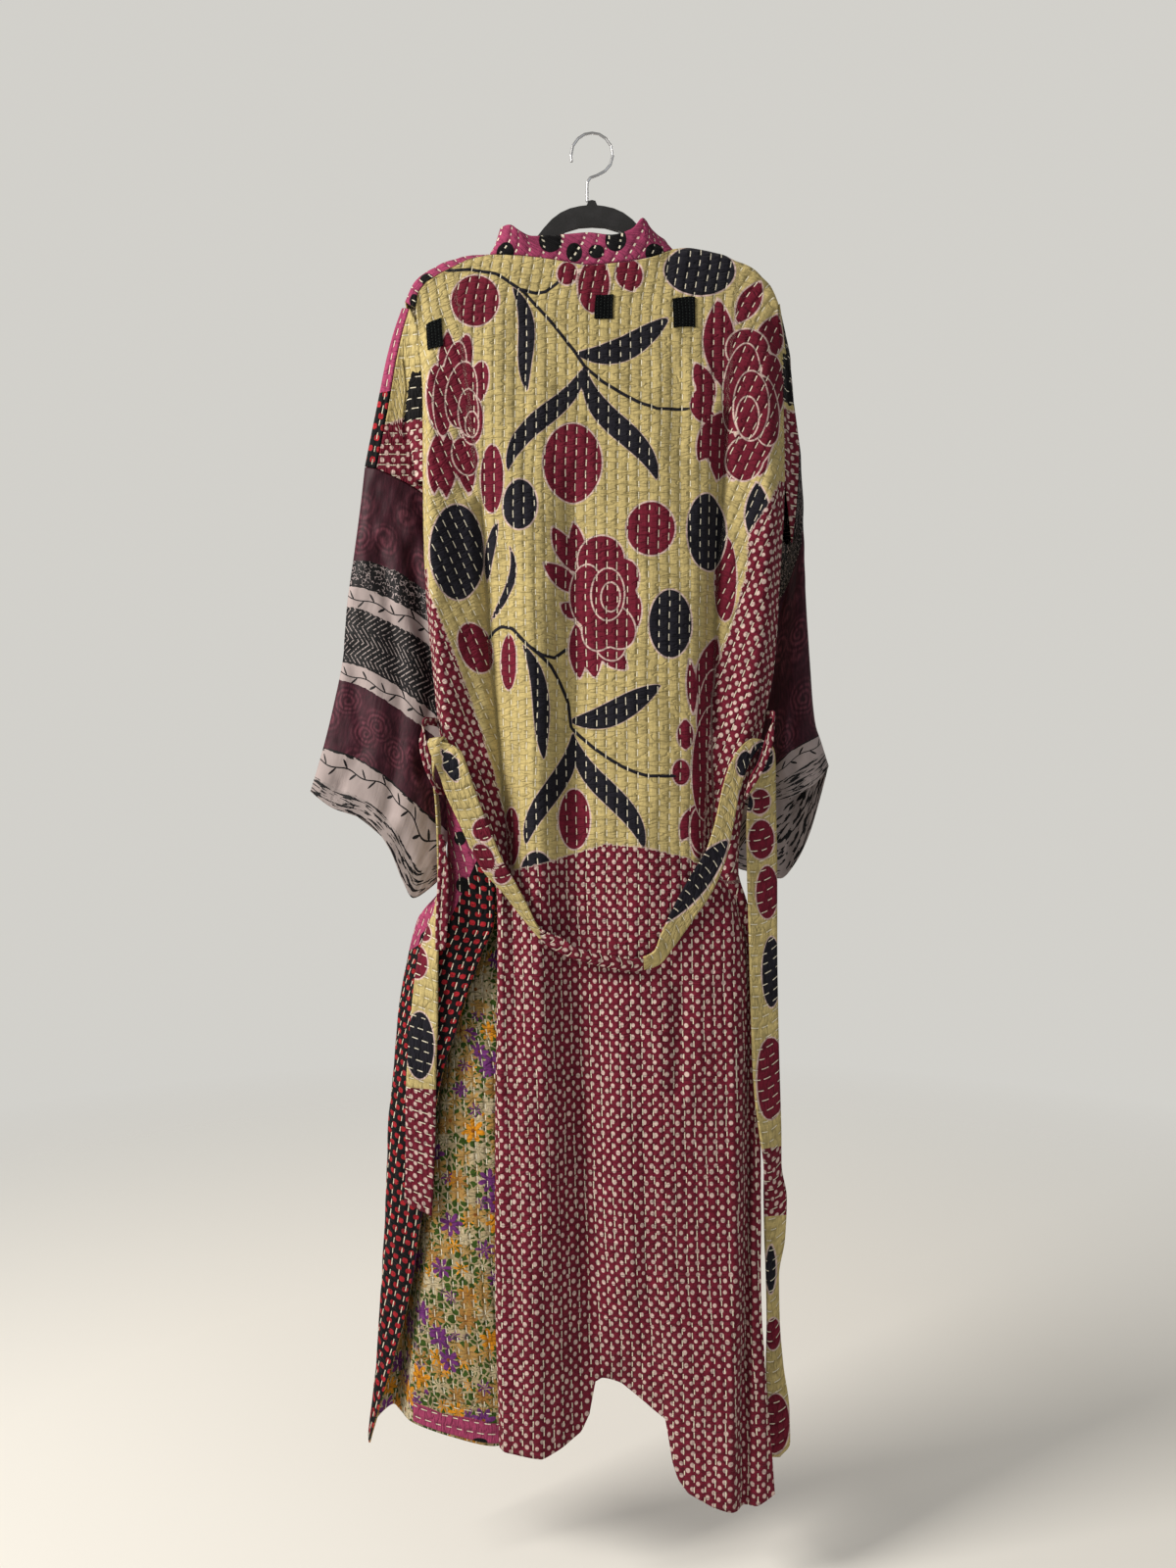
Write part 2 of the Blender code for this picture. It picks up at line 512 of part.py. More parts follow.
def apart(one, beside_one, other, beside_other, thick):
    """Two sheets that share a seam line moved apart along it, by their thickness and the seam gap."""
    along = np.gradient(one, axis=0)
    along /= np.linalg.norm(along, axis=1, keepdims=True)
    inward = []
    for edge, beside in ((one, beside_one), (other, beside_other)):
        step = beside - edge
        step = step - (step * along).sum(1, keepdims=True) * along
        inward.append(step / np.linalg.norm(step, axis=1, keepdims=True))
    turn = (inward[0] * inward[1]).sum(1, keepdims=True)
    move = inward[0] - inward[1]
    move /= np.linalg.norm(move, axis=1, keepdims=True)
    move *= thick / 2 * np.sqrt((1 + turn) / 2) + SEAM_GAP / 2
    return one + move, other - move


# Left front panel, which comes over the shoulder on to the back.
left_at = np.linspace(0, 7, 15)
back_edge = along_edge(back[0], LEFT_SHOULDER_SEAM)
ridge = curve_through(LEFT_SHOULDER_RIDGE, left_at)
left_hem = smooth(left_at, np.arange(8), LEFT_FRONT_HEM)
left_front = draped(LEFT_FRONT_X, LEFT_FRONT_Y, LEFT_FRONT_ROWS,
                    lambda x: ridge[:, 1] - 9, lambda x: left_hem, 2)
left_front[0, :, 0] = ridge[:, 0] + 0.3 * (left_front[0, :, 0] - ridge[:, 0])
depth = np.ones(len(left_at))
over = np.stack([0.4 * back_edge[:, 0] + 0.6 * ridge[:, 0], -7.2 * depth,
                 0.4 * back_edge[:, 2] + 0.6 * ridge[:, 1] - 1], 1)
seam = apart(back_edge, along_edge(back[1], LEFT_SHOULDER_SEAM), back_edge, over, CLOTH)[1]
seam = 2 * seam - back_edge
left_front = np.concatenate([np.stack([
    seam,
    over,
    np.stack([ridge[:, 0], 0 * depth, ridge[:, 1] + 1.2], 1),
    np.stack([ridge[:, 0], 6.5 * depth, ridge[:, 1] - 2.6], 1),
]), left_front])

# Right front panel.
right_at = np.linspace(0, 5, 11)
ridge = curve_through(RIGHT_SHOULDER_RIDGE, right_at)
ridge[:, 1] = np.interp(ridge[:, 0], back[0, :, 0], back[0, :, 2])
right_hem = smooth(right_at, np.arange(6), RIGHT_FRONT_HEM)
right_front = draped(RIGHT_FRONT_X, RIGHT_FRONT_Y, RIGHT_FRONT_ROWS,
                     lambda x: ridge[:, 1] - 9, lambda x: right_hem, 2)
depth = np.ones(len(right_at))
right_front = np.concatenate([np.stack([
    np.stack([ridge[:, 0], 1.9 * depth, ridge[:, 1]], 1),
    np.stack([ridge[:, 0], 6 * depth, ridge[:, 1] - 1.6], 1),
]), right_front])


def band_stations(edge, table):
    """Band along one front edge: the seam points, and the free edge beside them."""
    table = np.array(table, float)
    offset = np.stack([np.interp(-edge[:, 2], table[:, 0], table[:, k]) for k in (1, 2, 3)], 1)
    return np.concatenate([edge, edge + offset], 1)


# Band: down the left front edge, round the neck, down the right front edge.
left_band = band_stations(left_front[2:, -1], BAND_LEFT)
right_band = band_stations(right_front[1:, -1], BAND_RIGHT)
for panel, stations in ((left_front[2:], left_band), (right_front[1:], right_band)):
    panel[:, -1], stations[:, :3] = apart(panel[:, -1], panel[:, -2], stations[:, :3], stations[:, 3:], CLOTH)
neck = np.array(BAND_NECK, float)
neck_seam = np.stack([neck[:, 0], np.interp(neck[:, 0], back[0, :, 0], back[0, :, 1]),
                      np.interp(neck[:, 0], back[0, :, 0], back[0, :, 2]) + 2 * SEAM_GAP], 1)
band = np.concatenate([left_band[::-1], np.concatenate([neck_seam, neck[:, 1:]], 1), right_band])
across = np.linspace(0, 1, 3)[None, :, None]
cloth("left_front", left_front, CLOTH, PINK)
cloth("right_front", right_front, CLOTH, MAROON)
cloth("neck_band", band[:, None, :3] * (1 - across) + band[:, None, 3:] * across, CLOTH, PINK)


def drawn_in(grid, row, beside):
    """The grid with one end row drawn in from its seam, square to it, towards the row beside it."""
    along = np.gradient(grid[row], axis=0)
    along /= np.linalg.norm(along, axis=1, keepdims=True)
    step = grid[beside] - grid[row]
    step = step - (step * along).sum(1, keepdims=True) * along
    out = grid.copy()
    out[row] += step / np.linalg.norm(step, axis=1, keepdims=True) * 1.5 * SEAM_GAP
    return out


def armhole(sheet, panel, edge, beside, first):
    """Lays a sleeve's first ring along a panel's side edge, a seam gap off, from one point on down."""
    height = -sheet[0, first:, 2]
    side, inner = (np.stack([np.interp(height, -panel[2:, column, 2], panel[2:, column, axis])
                             for axis in range(3)], 1) for column in (edge, beside))
    moved = apart(side, inner, side, sheet[1, first:], CLOTH)[1]
    sheet[0, first:] = 2 * moved - side


# Upper sleeves in two halves each, and silk sleeves, whose first ring follows the halves' edges.
upper_rings = np.linspace(0, 1, 6)
for side, front, columns, back_table, front_table, front_look, silk_table in (
    ("left", left_front, (0, 1), UPPER_LEFT_BACK, UPPER_LEFT_FRONT, PINK, SILK_LEFT),
    ("right", right_front, (-1, -2), UPPER_RIGHT_BACK, UPPER_RIGHT_FRONT, BLACK, SILK_RIGHT),
):
    behind = rings(back_table, upper_rings, 2, False)
    before = rings(front_table, upper_rings, 2, False)
    armhole(behind, back, *columns, 1)
    armhole(before, front, 0, 1, 5)
    underarm = (behind[-1, -1:] + before[-1, -1:]) / 2 - (0, 0, 5)
    first = np.concatenate([before[-1, 2:0:-1], behind[-1, :-1], underarm, before[-1, -2:2:-1]])
    behind[:, 0], before[:, 0] = apart(behind[:, 0], behind[:, 1], before[:, 0], before[:, 1], CLOTH)
    cloth(side + "_upper_sleeve_back", drawn_in(behind, -1, -2), CLOTH, BEIGE)
    cloth(side + "_upper_sleeve_front", drawn_in(before, -1, -2), CLOTH, front_look)
    silk = rings({0: first[::2], **silk_table}, SILK_RINGS, 2, True)
    silk[0] = first
    cloth(side + "_silk_sleeve", drawn_in(silk, 0, 1), SILK, SILK_LOOK, closed=True)

# Belt, its loops and the narrow tie.
belt = np.array(BELT, float)
cloth("belt", belt[:, None, :3] * (1 - across) + belt[:, None, 3:] * across, BELT_CLOTH, BEIGE)
for name, line in LOOPS.items():
    line = np.array(line, float)
    run = np.gradient(line, axis=0)
    side = np.stack([-run[:, 2], 0 * run[:, 1], run[:, 0]], 1)
    side[np.abs(run[:, 1]) > 6] = (0, 0, 1)
    side /= np.linalg.norm(side, axis=1)[:, None]
    side *= np.sign((side * side[:1]).sum(1) + 1e-6)[:, None]
    cloth(name, np.stack([line - side * LOOP_WIDTH / 2, line + side * LOOP_WIDTH / 2], 1), CLOTH, MAROON)
tie = np.array(TIE, float)
half = tie[:, 3:] * (1, 0, 0)
cloth("side_tie", np.stack([tie[:, :3] - half, tie[:, :3] + half], 1), CLOTH, MAROON)

# Patches and the hem facing, from their panel's own points moved out.
for name, (panel, row_from, row_to, col_from, col_to) in PATCHES.items():
    grid = made_of[panel]
    at_row = np.union1d(np.linspace(row_from, row_to, 4), np.arange(np.ceil(row_from), row_to))
    at_col = np.union1d(np.linspace(col_from, col_to, 4), np.arange(np.ceil(col_from), col_to))
    at_row, at_col = np.meshgrid(at_row, at_col, indexing="ij")
    i, j = at_row.astype(int), at_col.astype(int)
    u, v = (at_row - i)[..., None], (at_col - j)[..., None]
    along = (grid[i + 1, j] - grid[i, j]) * (1 - v) + (grid[i + 1, j + 1] - grid[i, j + 1]) * v
    over = (grid[i, j + 1] - grid[i, j]) * (1 - u) + (grid[i + 1, j + 1] - grid[i + 1, j]) * u
    out = np.cross(over, along)
    out *= np.where(out[..., 1:2] > 0, -1, 1) / np.linalg.norm(out, axis=2, keepdims=True)
    point = (grid[i, j] * (1 - u) + grid[i + 1, j] * u) * (1 - v)
    point += (grid[i, j + 1] * (1 - u) + grid[i + 1, j + 1] * u) * v
    cloth(name, point + out * ((CLOTH + PATCH_CLOTH) / 2 + SEAM_GAP), PATCH_CLOTH, BLACK)

# Hanger body: flat outline both ways from the middle.
right_half = np.array(HANGER, float)
left_half = right_half[1:-1][::-1] * (-1, 1)
outline = np.concatenate([right_half, left_half])
curve = bpy.data.curves.new("hanger_body", "CURVE")
curve.dimensions = "2D"
curve.fill_mode = "BOTH"
curve.extrude = HANGER_THICK / 2 * MM
spline = curve.splines.new("POLY")
spline.points.add(len(outline) - 1)
spline.points.foreach_set("co", np.concatenate(
    [outline * MM, np.zeros((len(outline), 1)), np.ones((len(outline), 1))], 1).ravel())
spline.use_cyclic_u = True
body = bpy.data.objects.new("hanger_body", curve)
body.rotation_euler = (np.pi / 2, 0, 0)
curve.materials.append(material("hanger_body_look", (0.006, 0.006, 0.007), 1.0, 0.0))
coat.objects.link(body)

# Hanger hook: steel wire.
wire = bpy.data.curves.new("hanger_hook", "CURVE")
wire.dimensions = "3D"
wire.bevel_depth = HOOK_WIRE / 2 * MM
wire.bevel_resolution = 2
wire.use_fill_caps = True
hook = np.array(HOOK, float)
line = wire.splines.new("POLY")
line.points.add(len(hook) - 1)
line.points.foreach_set("co", np.stack(
    [hook[:, 0] * MM, np.zeros(len(hook)), hook[:, 1] * MM, np.ones(len(hook))], 1).ravel())
hook_object = bpy.data.objects.new("hanger_hook", wire)
wire.materials.append(material("hanger_hook_look", (0.55, 0.55, 0.56), 0.3, 1.0))
coat.objects.link(hook_object)
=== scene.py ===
# Kimono coat on a hanger, seen from its back: the looks of its cloth, silk, belt and hanger.
# X runs across the shoulders, -Y is the coat's back, +Z is up; the hook's inside top is the origin.
import bpy
import mathutils
import numpy as np
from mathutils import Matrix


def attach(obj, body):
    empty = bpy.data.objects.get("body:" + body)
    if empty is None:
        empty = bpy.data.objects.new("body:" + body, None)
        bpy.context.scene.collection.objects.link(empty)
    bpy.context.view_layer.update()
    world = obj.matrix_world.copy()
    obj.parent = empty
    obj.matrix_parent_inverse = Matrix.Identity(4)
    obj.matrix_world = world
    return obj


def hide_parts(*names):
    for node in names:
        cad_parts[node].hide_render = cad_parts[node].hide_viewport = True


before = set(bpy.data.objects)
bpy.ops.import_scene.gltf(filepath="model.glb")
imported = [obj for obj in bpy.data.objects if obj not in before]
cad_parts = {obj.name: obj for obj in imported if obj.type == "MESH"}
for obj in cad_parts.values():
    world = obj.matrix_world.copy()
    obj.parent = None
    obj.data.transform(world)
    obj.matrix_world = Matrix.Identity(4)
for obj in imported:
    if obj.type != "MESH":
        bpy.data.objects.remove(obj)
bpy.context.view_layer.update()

# Back panel: one wide piece of hand stitched two-layer cotton, its side edges rolled to the front.
# It hangs from the shoulders in a few long upright folds, and its hem steps up over the middle one.
MM = 0.001
CLOTH = 2.0
SEAM_GAP = 0.35
STEP = 4.2
BACK_STEP = 5.0
BACK_X = {
    150: (-200, -188, -160, -85, -8, 56, 108, 150, 184, 211),
    215: (-197, -184, -158, -88, -18, 60, 110, 156, 190, 214),
    300: (-193, -181, -149, -84, -18, 62, 112, 156, 196, 218),
    400: (-193, -181, -131, -78, -21, 64, 114, 154, 199, 220),
    500: (-191, -179, -121, -72, -21, 62, 115, 143, 194, 215),
    600: (-183, -171, -115, -68, -21, 60, 112, 139, 186, 209),
    700: (-171, -158, -105, -64, -21, 60, 110, 138, 170, 190),
    800: (-127, -119, -99, -60, -21, 62, 112, 141, 158, 168),
    850: (-109, -103, -94, -60, -20, 61, 118, 146, 158, 166),
    900: (-106, -101, -90, -60, -19, 60, 158, 175, 179, 184),
    1000: (-107, -101, -88, -60, -16, 58, 163, 180, 184, 189),
    1150: (-109, -102, -88, -59, -12, 52, 163, 180, 185, 192),
    1300: (-109, -102, -88, -58, -8, 48, 160, 177, 184, 192),
    1480: (-104, -97, -84, -56, -3, 46, 154, 172, 188, 207),
}
BACK_Y = {
    150: (-9, -9, -10, -14, -15, -14, -11, -11, -11, -10),
    215: (-4, -11, -13, -16, -16, -16, -15, -13, -11, -3),
    300: (1, -15, -12, -19, -16, -19, -18, -12, -16, -1),
    400: (3, -18, -7, -22, -14, -22, -20, -7, -19, 1),
    500: (4, -20, -2, -24, -12, -24, -21, -5, -20, 1),
    600: (4, -20, 0, -26, -11, -26, -22, -5, -20, 1),
    700: (2, -18, 1, -26, -11, -26, -22, -5, -19, -1),
    800: (-10, -19, -1, -26, -11, -26, -20, -7, -16, -5),
    850: (-13, -20, -10, -27, -10, -26, -20, -6, -12, -5),
    900: (-14, -20, -16, -28, -9, -26, -20, -2, -5, -5),
    1000: (-14, -20, -18, -30, -6, -26, -20, -1, -5, -5),
    1150: (-13, -20, -20, -30, -3, -26, -20, 0, -6, -5),
    1300: (-13, -21, -22, -30, -2, -22, -22, -2, -10, -8),
    1480: (-13, -22, -24, -30, -6, 2, -26, -10, -18, -12),
}
BACK_ROWS = (150, 153, 158, 166, 180, 200, 225, 260, 300, 345, 390, 435, 480, 525, 570, 615, 660,
             705, 750, 795, 840, 880, 930, 990, 1060, 1140, 1220, 1300, 1370, 1420, 1455, 1480)
# Top edge of the back, from the left shoulder over the neck seam to the right shoulder: x, z, depth.
BACK_TOP = (
    (-200, -202, -9), (-197, -185, -9), (-189, -174, -9), (-171, -163, -9.5), (-141, -149, -10),
    (-116, -142.5, -10), (-83, -145, -14), (-49, -149, -15), (-4, -157, -15), (51, -151, -15),
    (75, -144, -13), (88, -137, -8), (98, -131, -1), (114, -131, -0.6), (148, -138, -0.6),
    (164, -146, -0.6), (181, -152, -0.6), (192, -163, -0.6), (203, -174, -0.6), (211, -192, -0.6),
)
# Hem of the back, which steps up over the fold in the middle: x, z.
BACK_HEM = (
    (-104, -1494), (-82, -1497), (-56, -1498), (-32, -1489), (-12, -1478), (-3, -1460), (4, -1418),
    (18, -1422), (34, -1428), (53, -1444), (70, -1457), (84, -1466), (92, -1514), (98, -1532),
    (109, -1546), (136, -1557), (165, -1562), (186, -1558), (207, -1548),
)


def smooth(at, stations, values):
    """Cubic curve through the stations whose slopes are limited, so it never overshoots them."""
    at = np.atleast_1d(np.asarray(at, float))
    stations = np.asarray(stations, float)
    values = np.asarray(values, float)
    step = np.diff(stations)
    rise = np.diff(values) / step
    slope = np.empty(len(stations))
    both = rise[:-1] * rise[1:]
    slope[1:-1] = np.where(both > 0, 2 * both / (rise[:-1] + rise[1:] + 1e-12), 0)
    slope[0] = rise[0]
    slope[-1] = rise[-1]
    i = np.clip(np.searchsorted(stations, at, side="right") - 1, 0, len(step) - 1)
    t = np.clip((at - stations[i]) / step[i], 0, 1)
    keep = (1 + 2 * t) * (1 - t) ** 2 * values[i] + t * t * (3 - 2 * t) * values[i + 1]
    return keep + step[i] * (t * (1 - t) ** 2 * slope[i] - t * t * (1 - t) * slope[i + 1])


def curve_through(points, at):
    """Points of a curve through the given points, taken at fractions of their numbers."""
    points = np.array(points, float)
    return np.stack([smooth(at, np.arange(len(points)), column) for column in points.T], 1)


def along_edge(row, at):
    """Points along a row of a grid at fractions of their numbers, in straight steps."""
    return np.stack([np.interp(at, np.arange(len(row)), row[:, axis]) for axis in range(3)], 1)


def table_rows(table, levels):
    """Each line of a section table taken at new levels: an array of level by line."""
    known = sorted(table)
    lines = np.array([table[k] for k in known], float)
    return np.stack([smooth(levels, known, lines[:, j]) for j in range(lines.shape[1])], 1)


def spread(rows, parts):
    """Each row carried smoothly through its lines, every gap between two lines in so many parts."""
    count = rows.shape[1]
    at = np.linspace(0, count - 1, (count - 1) * parts + 1)
    return np.stack([smooth(at, np.arange(count), row) for row in rows])


def draped(table_x, table_y, rows, top_z, hem_z, parts):
    """Cloth hung in sections: rows follow the top edge above, the hem below, and are level between."""
    x = spread(table_rows(table_x, rows), parts)
    y = spread(table_rows(table_y, rows), parts)
    level = np.asarray(rows, float)[:, None]
    upper = np.clip(1 - (level - rows[0]) / 170, 0, 1) ** 1.5
    lower = np.clip((level - 1240) / (rows[-1] - 1240), 0, 1) ** 1.6
    z = -level + upper * (top_z(x[0]) + rows[0]) + lower * (hem_z(x[-1]) + rows[-1])
    return np.stack([x, y, z], 2)


def rings(table, levels, parts, closed):
    """Rings of a sleeve at new levels, carried through their points, round or from edge to edge."""
    known = sorted(table)
    points = np.array([table[k] for k in known], float)
    count = points.shape[1]
    at = np.linspace(0, count, count * parts + 1)[:-1]
    if not closed:
        at = at[:(count - 1) * parts + 1]
    out = np.empty((len(levels), len(at), 3))
    for axis in range(3):
        along = np.stack([smooth(levels, known, points[:, j, axis]) for j in range(count)], 1)
        if closed:
            wide = np.concatenate([along[:, -2:], along, along[:, :3]], 1)
            out[:, :, axis] = np.stack([smooth(at, np.arange(-2, count + 3), row) for row in wide])
        else:
            out[:, :, axis] = np.stack([smooth(at, np.arange(count), row) for row in along])
    return out


def finer(grid, step):
    """Same surface with more points: cubic curves through its points, down the rows, then across."""
    for axis in (0, 1):
        gap = np.linalg.norm(np.diff(grid, axis=axis), axis=2).max(1 - axis)
        parts = np.maximum(1, np.ceil(gap / step)).astype(int)
        at = np.concatenate([i + np.arange(n) / n for i, n in enumerate(parts)] + [[len(parts)]])
        turned = np.moveaxis(grid, axis, 0)
        columns = turned.reshape(len(turned), -1).T
        new = np.stack([smooth(at, np.arange(len(turned)), column) for column in columns], 1)
        grid = np.moveaxis(new.reshape(len(at), *turned.shape[1:]), 0, axis)
    return grid


def laid_flat(grid, middle, level=False):
    """Place of each point on the cloth: length along its row from the middle column, and down. On a
    level cloth it is the level length of the row, and the height."""
    across = np.linalg.norm(np.diff(grid[..., :2] if level else grid, axis=1), axis=2)
    across = np.concatenate([0 * across[:, :1], np.cumsum(across, 1)], 1)
    down = np.linalg.norm(np.diff(grid, axis=0), axis=2)
    down = np.concatenate([0 * down[:1], np.cumsum(down, 0)], 0)
    down = -grid[..., 2] if level else 0.5 * down.mean(1, keepdims=True) + 0.5 * down
    return np.stack([across - across[:, middle:middle + 1], down], 2)


def crumpled(grid, amount, seed):
    """Soft uneven hollows: a few waves of mixed length and lean, moving points square to the cloth."""
    rng = np.random.default_rng(seed)
    flow = np.gradient(grid, axis=0)
    cross = np.gradient(grid, axis=1)
    out = np.cross(flow, cross)
    out /= np.linalg.norm(out, axis=2, keepdims=True) + 1e-9
    height = np.zeros(grid.shape[:2])
    for length in (170, 110, 74, 52, 37, 26):
        lean = rng.uniform(-0.5, 0.5, 2)
        wave = rng.uniform(0, 6.28, 2)
        one = np.sin((grid[..., 0] * 1.6 + lean[0] * grid[..., 2]) / length * 6.28 + wave[0])
        two = np.sin((grid[..., 2] + lean[1] * grid[..., 0] * 2) / (1.7 * length) * 6.28 + wave[1])
        height += one * two * (length / 170) ** 0.5
    edge = np.arange(grid.shape[0])
    fade = np.minimum(edge, edge[::-1]) / 6
    side = np.arange(grid.shape[1])
    fade = np.minimum(fade[:, None], np.minimum(side, side[::-1])[None] / 4)
    return grid + out * (height * amount * np.clip(fade, 0, 1))[..., None]


def sheet(name, grid, place, thick, fields=None, closed=False):
    """Cloth of quads between the grid's points, with its places on the cloth as UVs, in metres, and
    its fields as point attributes; Solidify gives it its thickness to both sides."""
    rows, cols = grid.shape[:2]
    kept = cols - 1 if closed else cols
    index = np.arange(rows * kept).reshape(rows, kept)
    if closed:
        index = np.concatenate([index, index[:, :1]], 1)
    point = np.arange(rows * cols).reshape(rows, cols)
    quads = [np.stack([n[:-1, :-1], n[1:, :-1], n[1:, 1:], n[:-1, 1:]], 2).reshape(-1, 4)
             for n in (index, point)]
    mesh = bpy.data.meshes.new(name)
    mesh.from_pydata((grid[:, :kept].reshape(-1, 3) * MM).tolist(), [], quads[0].tolist())
    mesh.uv_layers.new(name="cloth")
    mesh.uv_layers["cloth"].data.foreach_set("uv", (place.reshape(-1, 2)[quads[1].ravel()] * MM).ravel())
    for title, values in (fields or {}).items():
        made = mesh.attributes.new(title, "FLOAT", "POINT")
        made.data.foreach_set("value", np.ascontiguousarray(values[:, :kept], float).ravel())
    mesh.update()
    mesh.shade_smooth()
    made = bpy.data.objects.new(name, mesh)
    bpy.context.scene.collection.objects.link(made)
    shell = made.modifiers.new("wall", "SOLIDIFY")
    shell.thickness = thick * MM
    shell.offset = 0
    shell.use_even_offset = False
    return made


# What is printed on the back, in millimetres as seen square on: middle x and z, half length and half
# width. What isn't a plain upright oval also has its lean in degrees, how pointed its ends are, the
# bow of its middle and how far it sways to each side.
UPRIGHT_OVAL = (0, 0.5, 0, 0)
MAROON_OVALS = (
    (-132, -196, 29, 27), (-22, -380, 44, 33), (-113, -397, 38, 13), (66, -456, 30, 27),
    (152, -510, 48, 12), (-94, -605, 31, 9), (-20, -783, 34, 18), (-91, -803, 33, 10),
    (-133, -588, 29, 18, -20), (100, -730, 14, 10),
)
NAVY_OVALS = (
    (122, -161, 29, 40), (-81, -428, 28, 19), (-153, -480, 54, 29), (130, -458, 43, 23),
    (187, -439, 37, 13, 0, 0.9), (88, -563, 38, 24), (-62, -846, 27, 18),
)
LEAVES = (
    (-81.5, -240, 60, 9.5, 171.7, 0.75, -7.5, 4), (34, -237, 57, 14, 69.6, 0.75, 14, -2),
    (-52, -331.5, 73.5, 11.5, -144, 0.75, 4, 7), (33, -338, 75, 13, 147.7, 0.75, 4, -7.5),
    (-65.6, -651, 65.5, 9, 170, 0.75, -8, 2.4), (25.6, -652, 55, 14, 69.3, 0.75, 9.5, -2),
    (-47.7, -747.6, 69, 11, -158, 0.75, -3.3, 5.7), (19.7, -753.4, 74, 12, 148.3, 0.75, 0.5, -7),
    (-113, -478, 35, 6, -169, 0.8, 3), (-105, -516.6, 44.5, 4.5, -164.6, 0.75, -12, 2),
)
STEMS = (
    ((-166, -160), (-138, -160), (-107, -166), (-77, -187), (-47, -220), (-19, -255), (-8, -272),
     (11, -288), (33, -302), (53, -313), (73, -320), (106, -320)),
    ((-117, -574), (-110, -568), (-103, -564), (-90, -567), (-73, -586), (-60, -597), (-47, -610),
     (-37, -628), (-28, -650), (-24, -679), (-11, -691), (3, -703), (20, -715), (35, -724), (49, -730),
     (63, -734), (90, -734)),
)
SIDE_STEMS = (
    ((-80, -184), (-65, -188), (-53, -187), (-39, -177)),
    ((-68, -590), (-57, -598), (-43, -601), (-30, -591)),
)
OUTER_PETALS = (
    (-31, -478, 29, 11.1, -29, 1), (-17, -472, 27, 8.9, -8, 1), (-34, -510, 26, 11.1, -53, 1),
    (-24, -546, 14, 8.9, -62, 1), (-16, -592, 31, 10, 176, 0.8), (0, -597, 26, 10, 172, 0.8),
    (22, -598, 24, 11.1, 132, 0.8), (178, -197, 28, 12.2, 30, 1), (148, -246, 53, 18.9, -5, 1, -3.3),
    (127, -289, 24, 11.1, -27, 1), (124, -315, 14, 19, 90, 0.7), (136, -349, 34, 14.4, -151, 1),
    (147, -363, 36, 15.5, -171, 1), (202, -237, 30, 15.5, 18, 1), (166, -371, 29, 14.4, -167, 1),
    (186, -369, 26, 12.2, 170, 0.6), (-164, -264, 35, 10, 1, 1), (-146, -262, 29, 10, 10, 0.7),
    (-176, -306, 38, 10, -2, 0.6), (-176, -380, 36, 10, -176, 1), (-164, -382, 38, 10, -178, 1),
    (-144, -379, 36, 11.1, 172, 1), (131, -610, 37, 12.2, 18, 1), (112, -634, 31, 5.5, -4, 1),
    (105, -688, 17, 9, 0, 0.7), (110, -786, 23, 10, -155, 1), (125, -796, 32, 14.4, -170, 0.8),
    (144, -788, 23, 10, 177, 1), (-28, -166, 13, 11, 10), (2, -179, 32, 17.7, -175, 0.6),
    (42, -167, 19, 15, -15, 0.6),
)
ROUND_PETALS = (
    (10, -489, 26, 26), (37, -511, 21, 16), (42, -553, 26, 13, 10), (20, -582, 17, 22, 70),
    (176, -251, 23, 24, 20), (205, -291, 35, 14), (173, -375, 24, 20), (191, -360, 24, 12, 20),
    (-128, -289, 24, 11, 10), (-156, -275, 33, 12, 10), (-144, -371, 21, 14, -15), (-169, -310, 39, 10),
    (135, -656, 44, 16, 8), (126, -794, 28, 16),
)
MIDDLE_PETALS = (
    (-6, -529, 34, 19), (27, -566, 20, 26, 60), (9, -566, 19, 26, 100), (169, -294, 50, 20, 8),
    (196, -322, 39, 16, -5), (-148, -302, 37, 17, 8), (-136, -330, 27, 13), (133, -719, 65, 20, 4),
)
INNER_PETALS = (
    (18, -529, 29, 18), (180, -315, 39, 19), (-140, -322, 26, 11), (145, -739, 38, 13),
)
HEART_PETALS = (
    (21, -532, 16, 10), (176, -328, 23, 12), (-136, -335, 14, 7), (149, -741, 22, 8),
)


def from_shapes(x, z, shapes):
    """Distance to the nearest printed shape, less than 0 inside it. Along the shape's own length t,
    from -1 to 1, its half width is the greatest one times (1 - t squared) to the power 'pointed', and
    its middle line is off by the bow times (1 - t squared) and the sway times 2.6 t (1 - t squared)."""
    near = np.full(x.shape, 99.0)
    for middle_x, middle_z, half_long, half_wide, *rest in shapes:
        lean, pointed, bow, sway = (*rest, *UPRIGHT_OVAL[len(rest):])
        turn = np.radians(lean)
        along = (x - middle_x) * np.sin(turn) + (z - middle_z) * np.cos(turn)
        beside = (x - middle_x) * np.cos(turn) - (z - middle_z) * np.sin(turn)
        t = np.clip(along / half_long, -1, 1)
        beside = np.abs(beside - (bow + sway * 2.6 * t) * (1 - t * t))
        if pointed == 0.5:
            scaled = np.hypot(along / half_long, beside / half_wide)
            off = (scaled - 1) * np.hypot(along, beside) / np.maximum(scaled, 0.05)
            off = np.where(scaled < 0.3, -min(half_long, half_wide) * 0.7, off)
        else:
            wide = half_wide * (1 - t * t) ** pointed
            off = np.maximum((beside - wide) * 0.94, np.abs(along) - half_long)
        near = np.minimum(near, off)
    return np.clip(near, -30, 30)


